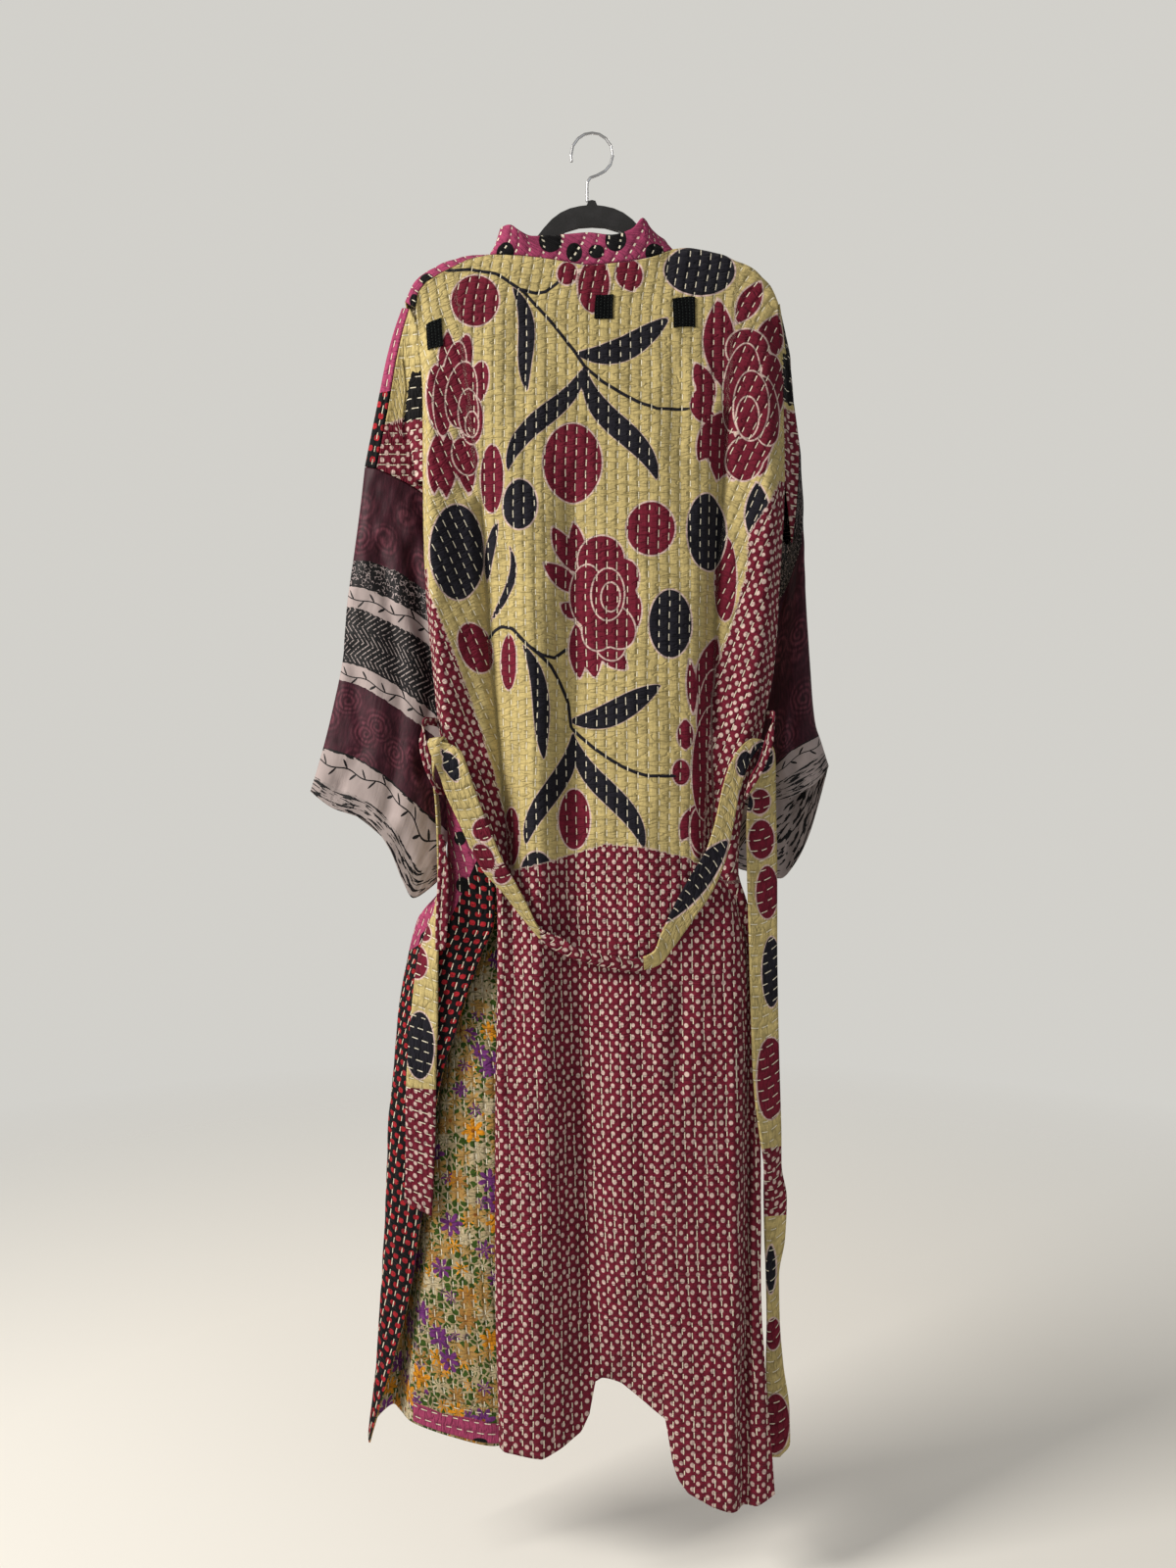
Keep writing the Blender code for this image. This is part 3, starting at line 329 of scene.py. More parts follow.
def from_lines(x, z, lines):
    """Distance sideways from the nearest drawn line, its sign the side, and plain distance to it."""
    near = np.full(x.shape, 99.0)
    side = np.full(x.shape, 99.0)
    for line in lines:
        for (x0, z0), (x1, z1) in zip(line[:-1], line[1:]):
            run = np.hypot(x1 - x0, z1 - z0)
            t = np.clip(((x - x0) * (x1 - x0) + (z - z0) * (z1 - z0)) / run ** 2, 0, 1)
            off = np.hypot(x - x0 - t * (x1 - x0), z - z0 - t * (z1 - z0))
            hand = np.sign((x - x0) * (z1 - z0) - (z - z0) * (x1 - x0)) * off
            side = np.where(off < near, hand, side)
            near = np.minimum(near, off)
    return side, near


def creased(grid, creases):
    """Troughs laid into the cloth along given lines of x, z: a soft hollow across the line, its depth
    times exp of minus the squared distance in widths, with a low ridge beside it."""
    out = grid.copy()
    for line, depth, width in creases:
        near = from_lines(grid[..., 0], grid[..., 2], (line,))[1] / width
        out[..., 1] += depth * (np.exp(-near ** 2) - 0.25 * np.exp(-(near - 2.4) ** 2))
    return out


# Creases of the back as seen: lines of x, z, then depth and width; the longest run down both sides.
BACK_CREASES = (
    (((-127, -428), (-112, -625), (-95, -840)), 6.5, 6.0),
    (((153, -324), (142, -461), (137, -676)), 6.5, 5.5),
    (((-21, -400), (-19, -610), (-21, -800)), 4.0, 12.0),
    (((-16, -1000), (-8, -1230), (2, -1400)), 3.5, 9.0),
    (((101, -975), (96, -1085)), 5.0, 8.0),
    (((170, -990), (174, -1110), (167, -1450), (164, -1520)), 4.5, 5.0),
    (((-66, -990), (-58, -1220), (-49, -1464)), 3.5, 10.0),
    (((52, -1010), (60, -1200), (66, -1400)), 3.0, 11.0),
    (((-88, -230), (-72, -420)), 2.5, 10.0),
    (((92, -250), (104, -440)), 2.5, 11.0),
)

# Foot of the khaki print, and the two slanting edges at the sides where the dotted cloth begins.
PRINT_FOOT = ((-120, -848), (-98, -845), (-35, -828), (17, -812), (62, -816), (109, -828), (162, -863),
              (230, -900))
LEFT_SLANT = ((-187, -500), (-186, -522), (-160, -590), (-128, -680), (-93, -810))
RIGHT_SLANT = ((215, -395), (199, -430), (179, -461), (177, -500), (161, -562), (144, -609), (139, -645),
               (130, -760), (126, -860))


def dotted_edge(x, z):
    """Height above the print's foot or distance inside its slants, less than 0 on the dotted cloth."""
    foot = z - np.interp(x, *np.transpose(PRINT_FOOT))
    left_x = np.interp(-z, [-p[1] for p in LEFT_SLANT], [p[0] for p in LEFT_SLANT])
    right_x = np.interp(-z, [-p[1] for p in RIGHT_SLANT], [p[0] for p in RIGHT_SLANT])
    left = np.where(z < -498, (x - left_x) * 0.93, 30)
    right = np.where(z < -395, (right_x - x) * 0.93, 30)
    return np.clip(np.minimum(foot, np.minimum(left, right)), -30, 30)


def khaki_print(grid):
    """Fields of the printed khaki cloth at each point: each kind of shape, and the dotted edge."""
    x, z = grid[..., 0], grid[..., 2]
    side, near = from_lines(x, z, STEMS)
    branch_side, branch_near = from_lines(x, z, SIDE_STEMS)
    return {
        "maroon": from_shapes(x, z, MAROON_OVALS),
        "navy": from_shapes(x, z, NAVY_OVALS),
        "leaf": from_shapes(x, z, LEAVES),
        "stem_side": side,
        "stem_near": near,
        "branch_side": branch_side,
        "branch_near": branch_near,
        "petal_1": from_shapes(x, z, OUTER_PETALS),
        "petal_2": from_shapes(x, z, ROUND_PETALS),
        "petal_3": from_shapes(x, z, MIDDLE_PETALS),
        "petal_4": from_shapes(x, z, INNER_PETALS),
        "petal_5": from_shapes(x, z, HEART_PETALS),
        "dotted": dotted_edge(x, z),
    }


back_top = np.array(BACK_TOP, float)
back_hem = np.array(BACK_HEM, float)
back = draped(BACK_X, BACK_Y, BACK_ROWS,
              lambda x: np.interp(x, back_top[:, 0], back_top[:, 1]),
              lambda x: np.interp(x, back_hem[:, 0], back_hem[:, 1]), 3)
# At its top the cloth lies at the seam's depth, and comes out to its folds within a few millimetres.
top_depth = np.interp(back[0, :, 0], back_top[:, 0], back_top[:, 2])
below = back[0, :, 2][None, :] - back[:, :, 2]
turn = np.where(top_depth > -5, 3.5, 8)
back[:, :, 1] = top_depth + (back[:, :, 1] - top_depth) * (1 - np.exp(-below / turn))
back_fine = finer(back, BACK_STEP)
# The finer points between two lines of the hem are set back on its drawn edge.
hem_off = np.interp(back_fine[-1, :, 0], back_hem[:, 0], back_hem[:, 1]) - back_fine[-1, :, 2]
hem_share = np.clip((-back_fine[..., 2] - 1240) / 240, 0, 1) ** 1.6
back_fine[..., 2] += hem_share * hem_off


# Shader pieces shared by the cloths. A cloth's place is its UV, in metres.
def node(tree, kind, inputs=(), out=0, **settings):
    """Adds a node with these settings and inputs, each a value or another node's output."""
    made = tree.nodes.new("ShaderNode" + kind)
    for key, value in settings.items():
        setattr(made, key, value)
    for key, value in dict(inputs).items():
        if isinstance(value, bpy.types.NodeSocket):
            tree.links.new(value, made.inputs[key])
        else:
            made.inputs[key].default_value = value
    return made.outputs[out]


def number(tree, work, *values):
    """A Math node's work on one to three values."""
    return node(tree, "Math", dict(enumerate(values)), operation=work)


def times(tree, first, second):
    """Product of two values."""
    return number(tree, "MULTIPLY", first, second)


def minus(tree, first, second):
    """First value less the second."""
    return number(tree, "SUBTRACT", first, second)


def is_less(tree, value, limit):
    """1 where the value is less than the limit, otherwise 0."""
    return number(tree, "LESS_THAN", value, limit)


def is_more(tree, value, limit):
    """1 where the value is more than the limit, otherwise 0."""
    return number(tree, "GREATER_THAN", value, limit)


def from_middle(tree, value):
    """How far a value is past the middle of its whole step, from -0.5 to 0.5."""
    return minus(tree, number(tree, "FRACT", value), 0.5)


def shaken(tree, value, noise, amount):
    """A value moved by a noise about 0.5, times an amount."""
    return number(tree, "MULTIPLY_ADD", minus(tree, noise, 0.5), amount, value)


def soft_step(tree, value, start, end):
    """0 at start, 1 at end, straight between and level beyond."""
    return node(tree, "MapRange", {0: value, 1: start, 2: end, 3: 0.0, 4: 1.0})


def mix(tree, share, first, second):
    """Colour between two, by a share from 0 to 1."""
    return node(tree, "Mix", {0: share, 6: first, 7: second}, out=2, data_type="RGBA")


def split(tree, vector):
    """The three parts of a vector or colour."""
    return node(tree, "SeparateXYZ", {0: vector}).node.outputs


def scaled(tree, vector, amount):
    """A vector or colour times a value."""
    return node(tree, "VectorMath", {0: vector, 3: amount}, operation="SCALE")


def stretched(tree, place, across, down):
    """A place times so much across and down, which draws a pattern on it out the other way."""
    return node(tree, "VectorMath", {0: place, 1: (across, down, 1.0)}, operation="MULTIPLY")


def moved(tree, place, by):
    """A place moved by a vector."""
    return node(tree, "VectorMath", {0: place, 1: by}, operation="ADD")


def field(tree, title):
    """A point attribute's value."""
    return node(tree, "Attribute", out=2, attribute_name=title)


def dye(red, green, blue):
    """Colour from 0 to 255 as seen, turned to the light it gives back."""
    seen = np.array([red, green, blue]) / 255
    light = np.where(seen <= 0.04045, seen / 12.92, ((seen + 0.055) / 1.055) ** 2.4)
    return (*light.tolist(), 1.0)


def group(name, inputs, outputs):
    """New node group with its input and output sockets; gives the group, its inputs and its end."""
    made = bpy.data.node_groups.new(name, "ShaderNodeTree")
    for title, kind, value in inputs:
        socket = made.interface.new_socket(title, in_out="INPUT", socket_type="NodeSocket" + kind)
        if value is not None:
            socket.default_value = value
    for title, kind in outputs:
        made.interface.new_socket(title, in_out="OUTPUT", socket_type="NodeSocket" + kind)
    return made, made.nodes.new("NodeGroupInput").outputs, made.nodes.new("NodeGroupOutput").inputs


def place_group(tree, which, **inputs):
    """Puts a node group into a tree with its inputs set; gives all its outputs."""
    made = tree.nodes.new("ShaderNodeGroup")
    made.node_tree = which
    for key, value in inputs.items():
        key = key.replace("_", " ")
        if isinstance(value, bpy.types.NodeSocket):
            tree.links.new(value, made.inputs[key])
        else:
            made.inputs[key].default_value = value
    return made.outputs


def new_look(name, **values):
    """New material whose Principled shader has these values; gives it, its tree and the shader's inputs."""
    made = bpy.data.materials.new(name)
    made.use_nodes = True
    shader = made.node_tree.nodes["Principled BSDF"].inputs
    for key, value in values.items():
        shader[key.replace("_", " ")].default_value = value
    return made, made.node_tree, shader


def raised(tree, shader, height, strength, distance):
    """Gives a surface its relief from a height, so many metres deep at most."""
    bump = node(tree, "Bump", {"Strength": strength, "Distance": distance, "Height": height})
    tree.links.new(bump, shader["Normal"])


# Running stitches: even dashes of cream thread in lines, each line shifted by its own amount. The
# thread pulls the cloth down, which puffs up between the lines and crinkles across them.
hand_stitch, given, put = group(
    "hand_stitch",
    [("Place", "Vector", None), ("Line gap", "Float", 0.0118), ("Stitch", "Float", 0.0126),
     ("Share", "Float", 0.54), ("Thread width", "Float", 0.0011)],
    [("Thread", "Float"), ("Relief", "Float")])
tree = hand_stitch
wander = node(tree, "TexNoise", {"Vector": given["Place"], "Scale": 9.0, "Detail": 1.0})
u, v, _ = split(tree, given["Place"])
line_at = number(tree, "DIVIDE", shaken(tree, u, wander, 0.006), given["Line gap"])
line_no = number(tree, "FLOOR", line_at)
off_line = from_middle(tree, line_at)
shift = node(tree, "TexWhiteNoise", {"W": line_no}, noise_dimensions="1D")
dash_at = number(tree, "ADD", number(tree, "DIVIDE", v, given["Stitch"]), times(tree, shift, 9.0))
dash_no = number(tree, "FLOOR", dash_at)
own = node(tree, "TexWhiteNoise", {"Vector": node(tree, "CombineXYZ", {0: line_no, 1: dash_no})},
           noise_dimensions="2D")
half_dash = shaken(tree, times(tree, given["Share"], 0.5), own, 0.14)
off_dash = minus(tree, number(tree, "ABSOLUTE", from_middle(tree, dash_at)), half_dash)
sideways = number(tree, "ABSOLUTE", shaken(tree, off_line, own, 0.09))
thin, wide = (times(tree, given["Thread width"], share) for share in (0.35, 0.65))
in_line = soft_step(tree, times(tree, sideways, given["Line gap"]), wide, thin)
in_dash = soft_step(tree, off_dash, 0.03, -0.02)
thread = times(tree, in_line, in_dash)
tree.links.new(thread, put["Thread"])
valley = number(tree, "POWER", times(tree, off_line, 5.5), 2.0)
valley = number(tree, "EXPONENT", times(tree, valley, -1.0))
pull = times(tree, valley, number(tree, "MULTIPLY_ADD", in_dash, 0.55, 0.45))
crinkle = node(tree, "TexNoise", {"Vector": stretched(tree, given["Place"], 0.35, 1.0), "Scale": 150.0,
                                  "Detail": 2.0, "Distortion": 0.4})
ripple = node(tree, "TexNoise", {"Vector": stretched(tree, given["Place"], 0.3, 1.0), "Scale": 125.0,
                                 "Detail": 1.0})
groove = soft_step(tree, number(tree, "ABSOLUTE", minus(tree, ripple, 0.5)), 0.05, 0.0)
relief = minus(tree, times(tree, crinkle, 1.5), pull)
relief = number(tree, "MULTIPLY_ADD", groove, -0.55, relief)
tree.links.new(number(tree, "MULTIPLY_ADD", thread, 0.5, relief), put["Relief"])

# White dots in staggered rows, each a little off its place and of its own size.
white_dots, given, put = group(
    "white_dots",
    [("Place", "Vector", None), ("Gap", "Float", 0.0122), ("Size", "Float", 0.0022)],
    [("Dot", "Float")])
tree = white_dots
u, v, _ = split(tree, given["Place"])
row_gap = times(tree, given["Gap"], 0.56)
row_at = number(tree, "DIVIDE", v, row_gap)
row_no = number(tree, "FLOOR", row_at)
column_at = number(tree, "MULTIPLY_ADD", row_no, 0.5, number(tree, "DIVIDE", u, given["Gap"]))
cell = node(tree, "CombineXYZ", {0: number(tree, "FLOOR", column_at), 1: row_no})
own_x, own_y, own_size = split(
    tree, node(tree, "TexWhiteNoise", {"Vector": cell}, out=1, noise_dimensions="2D"))
off_x = minus(tree, number(tree, "FRACT", column_at), number(tree, "MULTIPLY_ADD", own_x, 0.14, 0.43))
off_y = minus(tree, number(tree, "FRACT", row_at), number(tree, "MULTIPLY_ADD", own_y, 0.2, 0.4))
off_x = times(tree, off_x, given["Gap"])
off_y = times(tree, off_y, times(tree, row_gap, 0.86))
far = number(tree, "SQRT", number(tree, "MULTIPLY_ADD", off_x, off_x, times(tree, off_y, off_y)))
size = times(tree, given["Size"], number(tree, "MULTIPLY_ADD", own_size, 0.3, 0.85))
tree.links.new(soft_step(tree, number(tree, "DIVIDE", far, size), 1.15, 0.85), put["Dot"])

# Worn cotton: slubs of the weave both ways and washed patches over a given colour.
worn_cotton, given, put = group(
    "worn_cotton",
    [("Place", "Vector", None), ("Colour", "Color", None), ("Wear", "Float", 1.0)],
    [("Colour", "Color"), ("Relief", "Float")])
tree = worn_cotton
washed = node(tree, "TexNoise", {"Vector": given["Place"], "Scale": 26.0, "Detail": 3.0})
threads = [stretched(tree, given["Place"], *drawn) for drawn in ((1.0, 0.14), (0.14, 1.0))]
slubs = [node(tree, "TexNoise", {"Vector": along, "Scale": 900.0, "Detail": 1.0}) for along in threads]
weave = number(tree, "ADD", *slubs)
shade = number(tree, "MULTIPLY_ADD", minus(tree, weave, 1.0), 0.55, 1.0)
shade = times(tree, shade, shaken(tree, 1.0, washed, 0.5))
shade = number(tree, "MULTIPLY_ADD", minus(tree, shade, 1.0), given["Wear"], 1.0)
# Cloth that shades itself between its threads sends back about four fifths of its dye's colour.
tree.links.new(scaled(tree, given["Colour"], times(tree, shade, 0.78)), put["Colour"])
tree.links.new(weave, put["Relief"])

KHAKI = dye(197, 178, 120)
MAROON = dye(112, 26, 46)
NAVY = dye(28, 27, 36)
PALE = dye(214, 188, 180)
THREAD = dye(226, 218, 196)
PINK = dye(166, 66, 104)
BLACK = dye(13, 12, 15)


def printed(tree, colour, title, ink, rim=1.7):
    """A printed shape over a colour: ink inside it, with a pale line round it."""
    off = field(tree, title)
    colour = mix(tree, soft_step(tree, off, rim + 0.5, rim - 0.3), colour, PALE)
    return mix(tree, soft_step(tree, off, 0.3, -0.4), colour, ink)


def stitched_look(name, colour_of, across=False, wear=1.0, **set_stitch):
    """Cotton material: a printed colour, worn, with running stitches over it and their relief, and painted
    shade in the relief's hollows.
    """
    made, tree, shader = new_look(name, Roughness=0.88, Specular_IOR_Level=0.15, Sheen_Weight=0.04)
    place = node(tree, "UVMap", uv_map="cloth")
    worn = place_group(tree, worn_cotton, Place=place, Colour=colour_of(tree, place), Wear=wear)
    run = place
    if across:
        u, v, _ = split(tree, place)
        run = node(tree, "CombineXYZ", {0: v, 1: u})
    sewn = place_group(tree, hand_stitch, Place=run, **set_stitch)
    # Painted shade: the colour is darker where the stitch relief dips, along the stitch lines and in the
    # crinkles, and lighter where it puffs up.
    painted_relief_shade = number(tree, "MULTIPLY_ADD", sewn["Relief"], 0.27, 0.9)
    colour = mix(tree, sewn["Thread"], scaled(tree, worn["Colour"], painted_relief_shade), THREAD)
    tree.links.new(colour, shader["Base Color"])
    raised(tree, shader, number(tree, "MULTIPLY_ADD", worn["Relief"], 0.12, sewn["Relief"]), 0.6, 0.003)
    return made


def dotted_maroon(tree, place):
    """Maroon cotton with white dots."""
    return mix(tree, place_group(tree, white_dots, Place=place)["Dot"], MAROON, PALE)


def khaki_colour(tree, place):
    """Khaki cloth with its printed shapes, painted from the back petals to the front ones."""
    colour = printed(tree, KHAKI, "maroon", MAROON)
    colour = printed(tree, colour, "navy", NAVY)
    colour = printed(tree, colour, "leaf", NAVY, 0.6)
    for title in ("stem", "branch"):
        drawn = soft_step(tree, number(tree, "ABSOLUTE", field(tree, title + "_side")), 2.3, 1.5)
        drawn = times(tree, drawn, is_less(tree, field(tree, title + "_near"), 5.0))
        colour = mix(tree, drawn, colour, NAVY)
    for title in ("petal_1", "petal_2", "petal_3", "petal_4", "petal_5"):
        colour = printed(tree, colour, title, MAROON)
    fuzz = node(tree, "TexNoise", {"Vector": place, "Scale": 220.0})
    edge = shaken(tree, field(tree, "dotted"), fuzz, 7.0)
    colour = mix(tree, soft_step(tree, edge, 3.0, 0.6), colour, PALE)
    return mix(tree, is_less(tree, edge, 0.8), colour, dotted_maroon(tree, place))


def finish_piece(piece, look, cad_name):
    """Gives a cloth its material, sets it to ride on the root, and hides the part it stands in for."""
    piece.data.materials.append(look)
    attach(piece, "root")
    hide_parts(cad_name)


# Upright folds beyond which the cloth hangs on the slant: z, then x of the left and the right one.
SLANT_FOLDS = ((-130, -160, 168), (-330, -138, 152), (-428, -126, 152), (-560, -118, 142),
               (-650, -112, 138), (-740, -103, 137), (-850, -95, 137), (-880, -300, 300),
               (-1600, -300, 300))
SLANT = np.radians(23)
# The pattern is measured from the fold at x = -20, level between the slanting sides.
middle = int(np.argmin(np.abs(back_fine[40, :, 0] + 20)))
across, down = np.moveaxis(laid_flat(back_fine, middle, level=True), 2, 0)
fold_z, left_x, right_x = np.array(SLANT_FOLDS, float)[::-1].T
slant = np.where(back_fine[..., 0] < np.interp(back_fine[..., 2], fold_z, left_x), SLANT, 0)
slant = np.where(back_fine[..., 0] > np.interp(back_fine[..., 2], fold_z, right_x), -SLANT, slant)
back_place = np.stack([across * np.cos(slant) - down * np.sin(slant),
                       across * np.sin(slant) + down * np.cos(slant)], 2)
cut = {"back_panel": back}
panels = {"back_panel": crumpled(creased(back_fine, BACK_CREASES), 0.55, 4)}
back_piece = sheet("back_cloth", panels["back_panel"], back_place, CLOTH, khaki_print(back_fine))
khaki_look = stitched_look("khaki_printed_cotton", khaki_colour)
finish_piece(back_piece, khaki_look, "back_panel")

# Left front: comes over the shoulder on to the back as a pink strip. Lower down it hangs turned, so
# its outer face in black and red check, its flowered inner face and its hem all show.
LEFT_FRONT_X = {
    150: (-205, -190, -178, -165, -152, -140, -128, -117),
    215: (-197, -184, -171, -157, -143, -130, -116, -101),
    300: (-191, -179, -166, -149, -131, -113, -98, -86),
    400: (-191, -178, -163, -143, -121, -101, -86, -72),
    500: (-190.5, -177, -161, -139, -113, -91, -73, -57),
    600: (-182.5, -170, -153, -129, -101, -77, -58, -41),
    700: (-170.5, -166, -156, -130, -96, -66, -46, -27),
    743: (-150, -159, -167, -150, -98, -60, -38, -18),
    793: (-130, -150, -166.5, -150, -101, -60, -34, -11),
    838: (-114, -142, -167, -150, -104, -62, -32, -5),
    868: (-110, -145, -178, -158, -108, -66, -30, 0),
    900: (-111, -156, -204, -180, -115, -70, -30, 4),
    950: (-131, -174, -217, -187, -127, -88, -30, 8),
    1000: (-147, -185, -225, -190, -142, -105, -32, 4),
    1077: (-171, -200, -231, -198, -158, -108, -38, -6),
    1150: (-184, -209, -237, -205, -176, -110, -46, -20),
    1250: (-197, -220, -241, -212, -185, -112, -54, -46),
    1350: (-215, -232, -247, -222, -196, -112, -58, -76),
    1440: (-244, -250, -254, -228, -207, -112, -60, -98),
    1480: (-257, -258.5, -259, -234, -208, -112, -60, -106),
}
LEFT_FRONT_Y = {
    150: (9, 10, 10, 10, 10, 10, 10, 9),
    215: (11, 12, 13, 14, 15, 16, 16, 16),
    300: (12, 14, 16, 18, 18, 18, 18, 18),
    400: (12, 16, 20, 20, 18, 20, 22, 22),
    500: (9, 13, 17, 20, 18, 20, 24, 25),
    600: (6.6, 12, 16, 22, 20, 22, 26, 27),
    700: (4.6, 11, 17, 24, 24, 24, 26, 27),
    743: (-1.2, 1.2, 11, 28, 26, 24, 26, 27),
    793: (-7.2, -5, 12, 32, 24, 22, 25, 27),
    838: (-10.2, -8, 18, 36, 22, 18, 24, 27),
    868: (-10.5, -6, 34, 48, 24, 16, 24, 27),
    900: (-10, -4, 46, 58, 26, 14, 24, 28),
    950: (-9, -1, 42, 58, 18, 8, 22, 28),
    1000: (-8, 0, 34, 54, 10, 3, 20, 30),
    1077: (-5, 3, 30, 50, 10, 1, 20, 34),
    1150: (0, 8, 28, 50, 12, -1, 21, 40),
    1250: (5, 12, 28, 50, 12, -2, 22, 46),
    1350: (9, 15, 27, 48, 12, -3, 23, 50),
    1440: (13, 18, 25, 46, 14, -3, 24, 53),
    1480: (15, 18.5, 23, 42, 14, -2, 24, 54),
}
LEFT_FRONT_ROWS = (150, 160, 175, 200, 230, 270, 320, 370, 420, 470, 520, 570, 620, 665, 700, 722, 743,
                   780, 815, 845, 870, 900, 935, 975, 1020, 1070, 1130, 1200, 1270, 1340, 1400,
                   1445, 1480)
LEFT_FRONT_HEM = (-1505, -1502, -1494, -1474, -1480, -1499, -1480, -1516)
# Over the left shoulder: seam on the back side, as steps along the back's top edge, then the ridge
# at the eight lines.
LEFT_SHOULDER_SEAM = (0, 1, 2, 3, 3.5, 4, 4.5, 5, 5.5, 6, 6.33, 6.67, 7, 7.36, 7.7)
LEFT_SHOULDER_RIDGE = ((-213, -193), (-203, -172), (-191, -161), (-172, -150), (-155, -144),
                       (-141, -140.5), (-128, -139.5), (-117, -139.5))


def apart(one, beside_one, other, beside_other, thick):
    """Two sheets that share a seam line moved apart along it, by their thickness and the seam gap."""
    along = np.gradient(one, axis=0)
    along /= np.linalg.norm(along, axis=1, keepdims=True)
    inward = []
    for edge, beside in ((one, beside_one), (other, beside_other)):
        step = beside - edge
        step = step - (step * along).sum(1, keepdims=True) * along
        inward.append(step / np.linalg.norm(step, axis=1, keepdims=True))
    turn = (inward[0] * inward[1]).sum(1, keepdims=True)
    move = inward[0] - inward[1]
    move /= np.linalg.norm(move, axis=1, keepdims=True)
    move *= thick / 2 * np.sqrt((1 + turn) / 2) + SEAM_GAP / 2
    return one + move, other - move


left_at = np.linspace(0, 7, 15)
back_edge = along_edge(back[0], LEFT_SHOULDER_SEAM)
ridge = curve_through(LEFT_SHOULDER_RIDGE, left_at)
left_hem = smooth(left_at, np.arange(8), LEFT_FRONT_HEM)
left_front = draped(LEFT_FRONT_X, LEFT_FRONT_Y, LEFT_FRONT_ROWS,
                    lambda x: ridge[:, 1] - 9, lambda x: left_hem, 2)
left_front[0, :, 0] = ridge[:, 0] + 0.3 * (left_front[0, :, 0] - ridge[:, 0])
depth = np.ones(len(left_at))
over = np.stack([0.4 * back_edge[:, 0] + 0.6 * ridge[:, 0], -7.2 * depth,
                 0.4 * back_edge[:, 2] + 0.6 * ridge[:, 1] - 1], 1)
seam = apart(back_edge, along_edge(back[1], LEFT_SHOULDER_SEAM), back_edge, over, CLOTH)[1]
seam = 2 * seam - back_edge
left_front = np.concatenate([np.stack([
    seam,
    over,
    np.stack([ridge[:, 0], 0 * depth, ridge[:, 1] + 1.2], 1),
    np.stack([ridge[:, 0], 6.5 * depth, ridge[:, 1] - 2.6], 1),
]), left_front])


# Right front: a narrow panel of the khaki print over dotted cotton, finished plainly because the back
# hides it. It is sewn to the back at the side and the shoulder, and to the band along its front edge.
RIGHT_FRONT_X = {
    150: (211, 190, 170, 148, 124, 100),
    215: (213, 196, 175, 150, 122, 96),
    300: (217, 200, 175, 145, 112, 84),
    400: (218.5, 200, 175, 144, 108, 72),
    500: (214.5, 198, 172, 139, 102, 64),
    600: (208.5, 192, 166, 134, 98, 61),
    700: (189.5, 176, 154, 126, 94, 61),
    800: (167, 158, 142, 118, 91, 63),
    850: (165.5, 156, 140, 117, 92, 66),
    900: (180, 168, 148, 122, 95, 68),
    1000: (186, 172, 151, 126, 100, 73),
    1150: (188, 172, 150, 128, 104, 80),
    1300: (188, 170, 150, 130, 108, 88),
    1480: (192, 172, 154, 136, 118, 100),
}
RIGHT_FRONT_Y = {
    150: (9, 10, 10, 10, 10, 9),
    215: (8, 11, 14, 15, 16, 16),
    300: (9, 13, 16, 18, 18, 20),
    400: (10, 15, 19, 20, 22, 27),
    500: (6, 12, 20, 18, 26, 33),
    600: (3.6, 11, 22, 18, 28, 36),
    700: (1.6, 9, 24, 20, 30, 38),
    800: (-2.4, 8, 26, 20, 32, 39),
    850: (-2.4, 9, 28, 20, 33, 40),
    900: (5, 12, 30, 20, 34, 41),
    1000: (8, 14, 32, 20, 35, 42),
    1150: (10, 16, 33, 20, 36, 42),
    1300: (12, 18, 34, 20, 37, 42),
    1480: (14, 20, 35, 20, 38, 42),
}
RIGHT_FRONT_ROWS = (150, 160, 180, 215, 260, 320, 380, 440, 500, 560, 620, 680, 740, 800, 850, 900,
                    980, 1070, 1170, 1280, 1390, 1480)
RIGHT_FRONT_HEM = (-1512, -1514, -1508, -1494, -1476, -1458)
RIGHT_SHOULDER_RIDGE = ((211, -192), (200, -171), (184, -155), (160, -144), (128, -134), (99, -131))

right_at = np.linspace(0, 5, 11)
ridge = curve_through(RIGHT_SHOULDER_RIDGE, right_at)
ridge[:, 1] = np.interp(ridge[:, 0], back[0, :, 0], back[0, :, 2])
right_hem = smooth(right_at, np.arange(6), RIGHT_FRONT_HEM)
right_front = draped(RIGHT_FRONT_X, RIGHT_FRONT_Y, RIGHT_FRONT_ROWS,
                     lambda x: ridge[:, 1] - 9, lambda x: right_hem, 2)
depth = np.ones(len(right_at))
right_front = np.concatenate([np.stack([
    np.stack([ridge[:, 0], 1.9 * depth, ridge[:, 1]], 1),
    np.stack([ridge[:, 0], 6 * depth, ridge[:, 1] - 1.6], 1),
]), right_front])


# Band: one doubled strip down the left front edge, round the neck and down the right front edge.
# It is pink with black spots, stitched on the slant, and stands slouched behind the neck.

# Neck part of the band: where along the neck seam (x), then its free edge x, y, z.
BAND_NECK = (
    (-112, -104, -7, -112.5),
    (-104, -99, -15, -112),
    (-94, -91, -20.5, -113),
    (-84, -82, -20, -119),
    (-67, -68, -17, -124),
    (-49, -50, -16, -123),
    (-27, -27, -15, -121),
    (-5, -4, -14.5, -119),
    (22, 22, -15.5, -122),
    (45, 44, -18, -117),
    (60, 57, -18, -104),
    (72, 66, -12.5, -113),
    (82, 75, -9, -120),
    (90, 83, -5, -124),
)
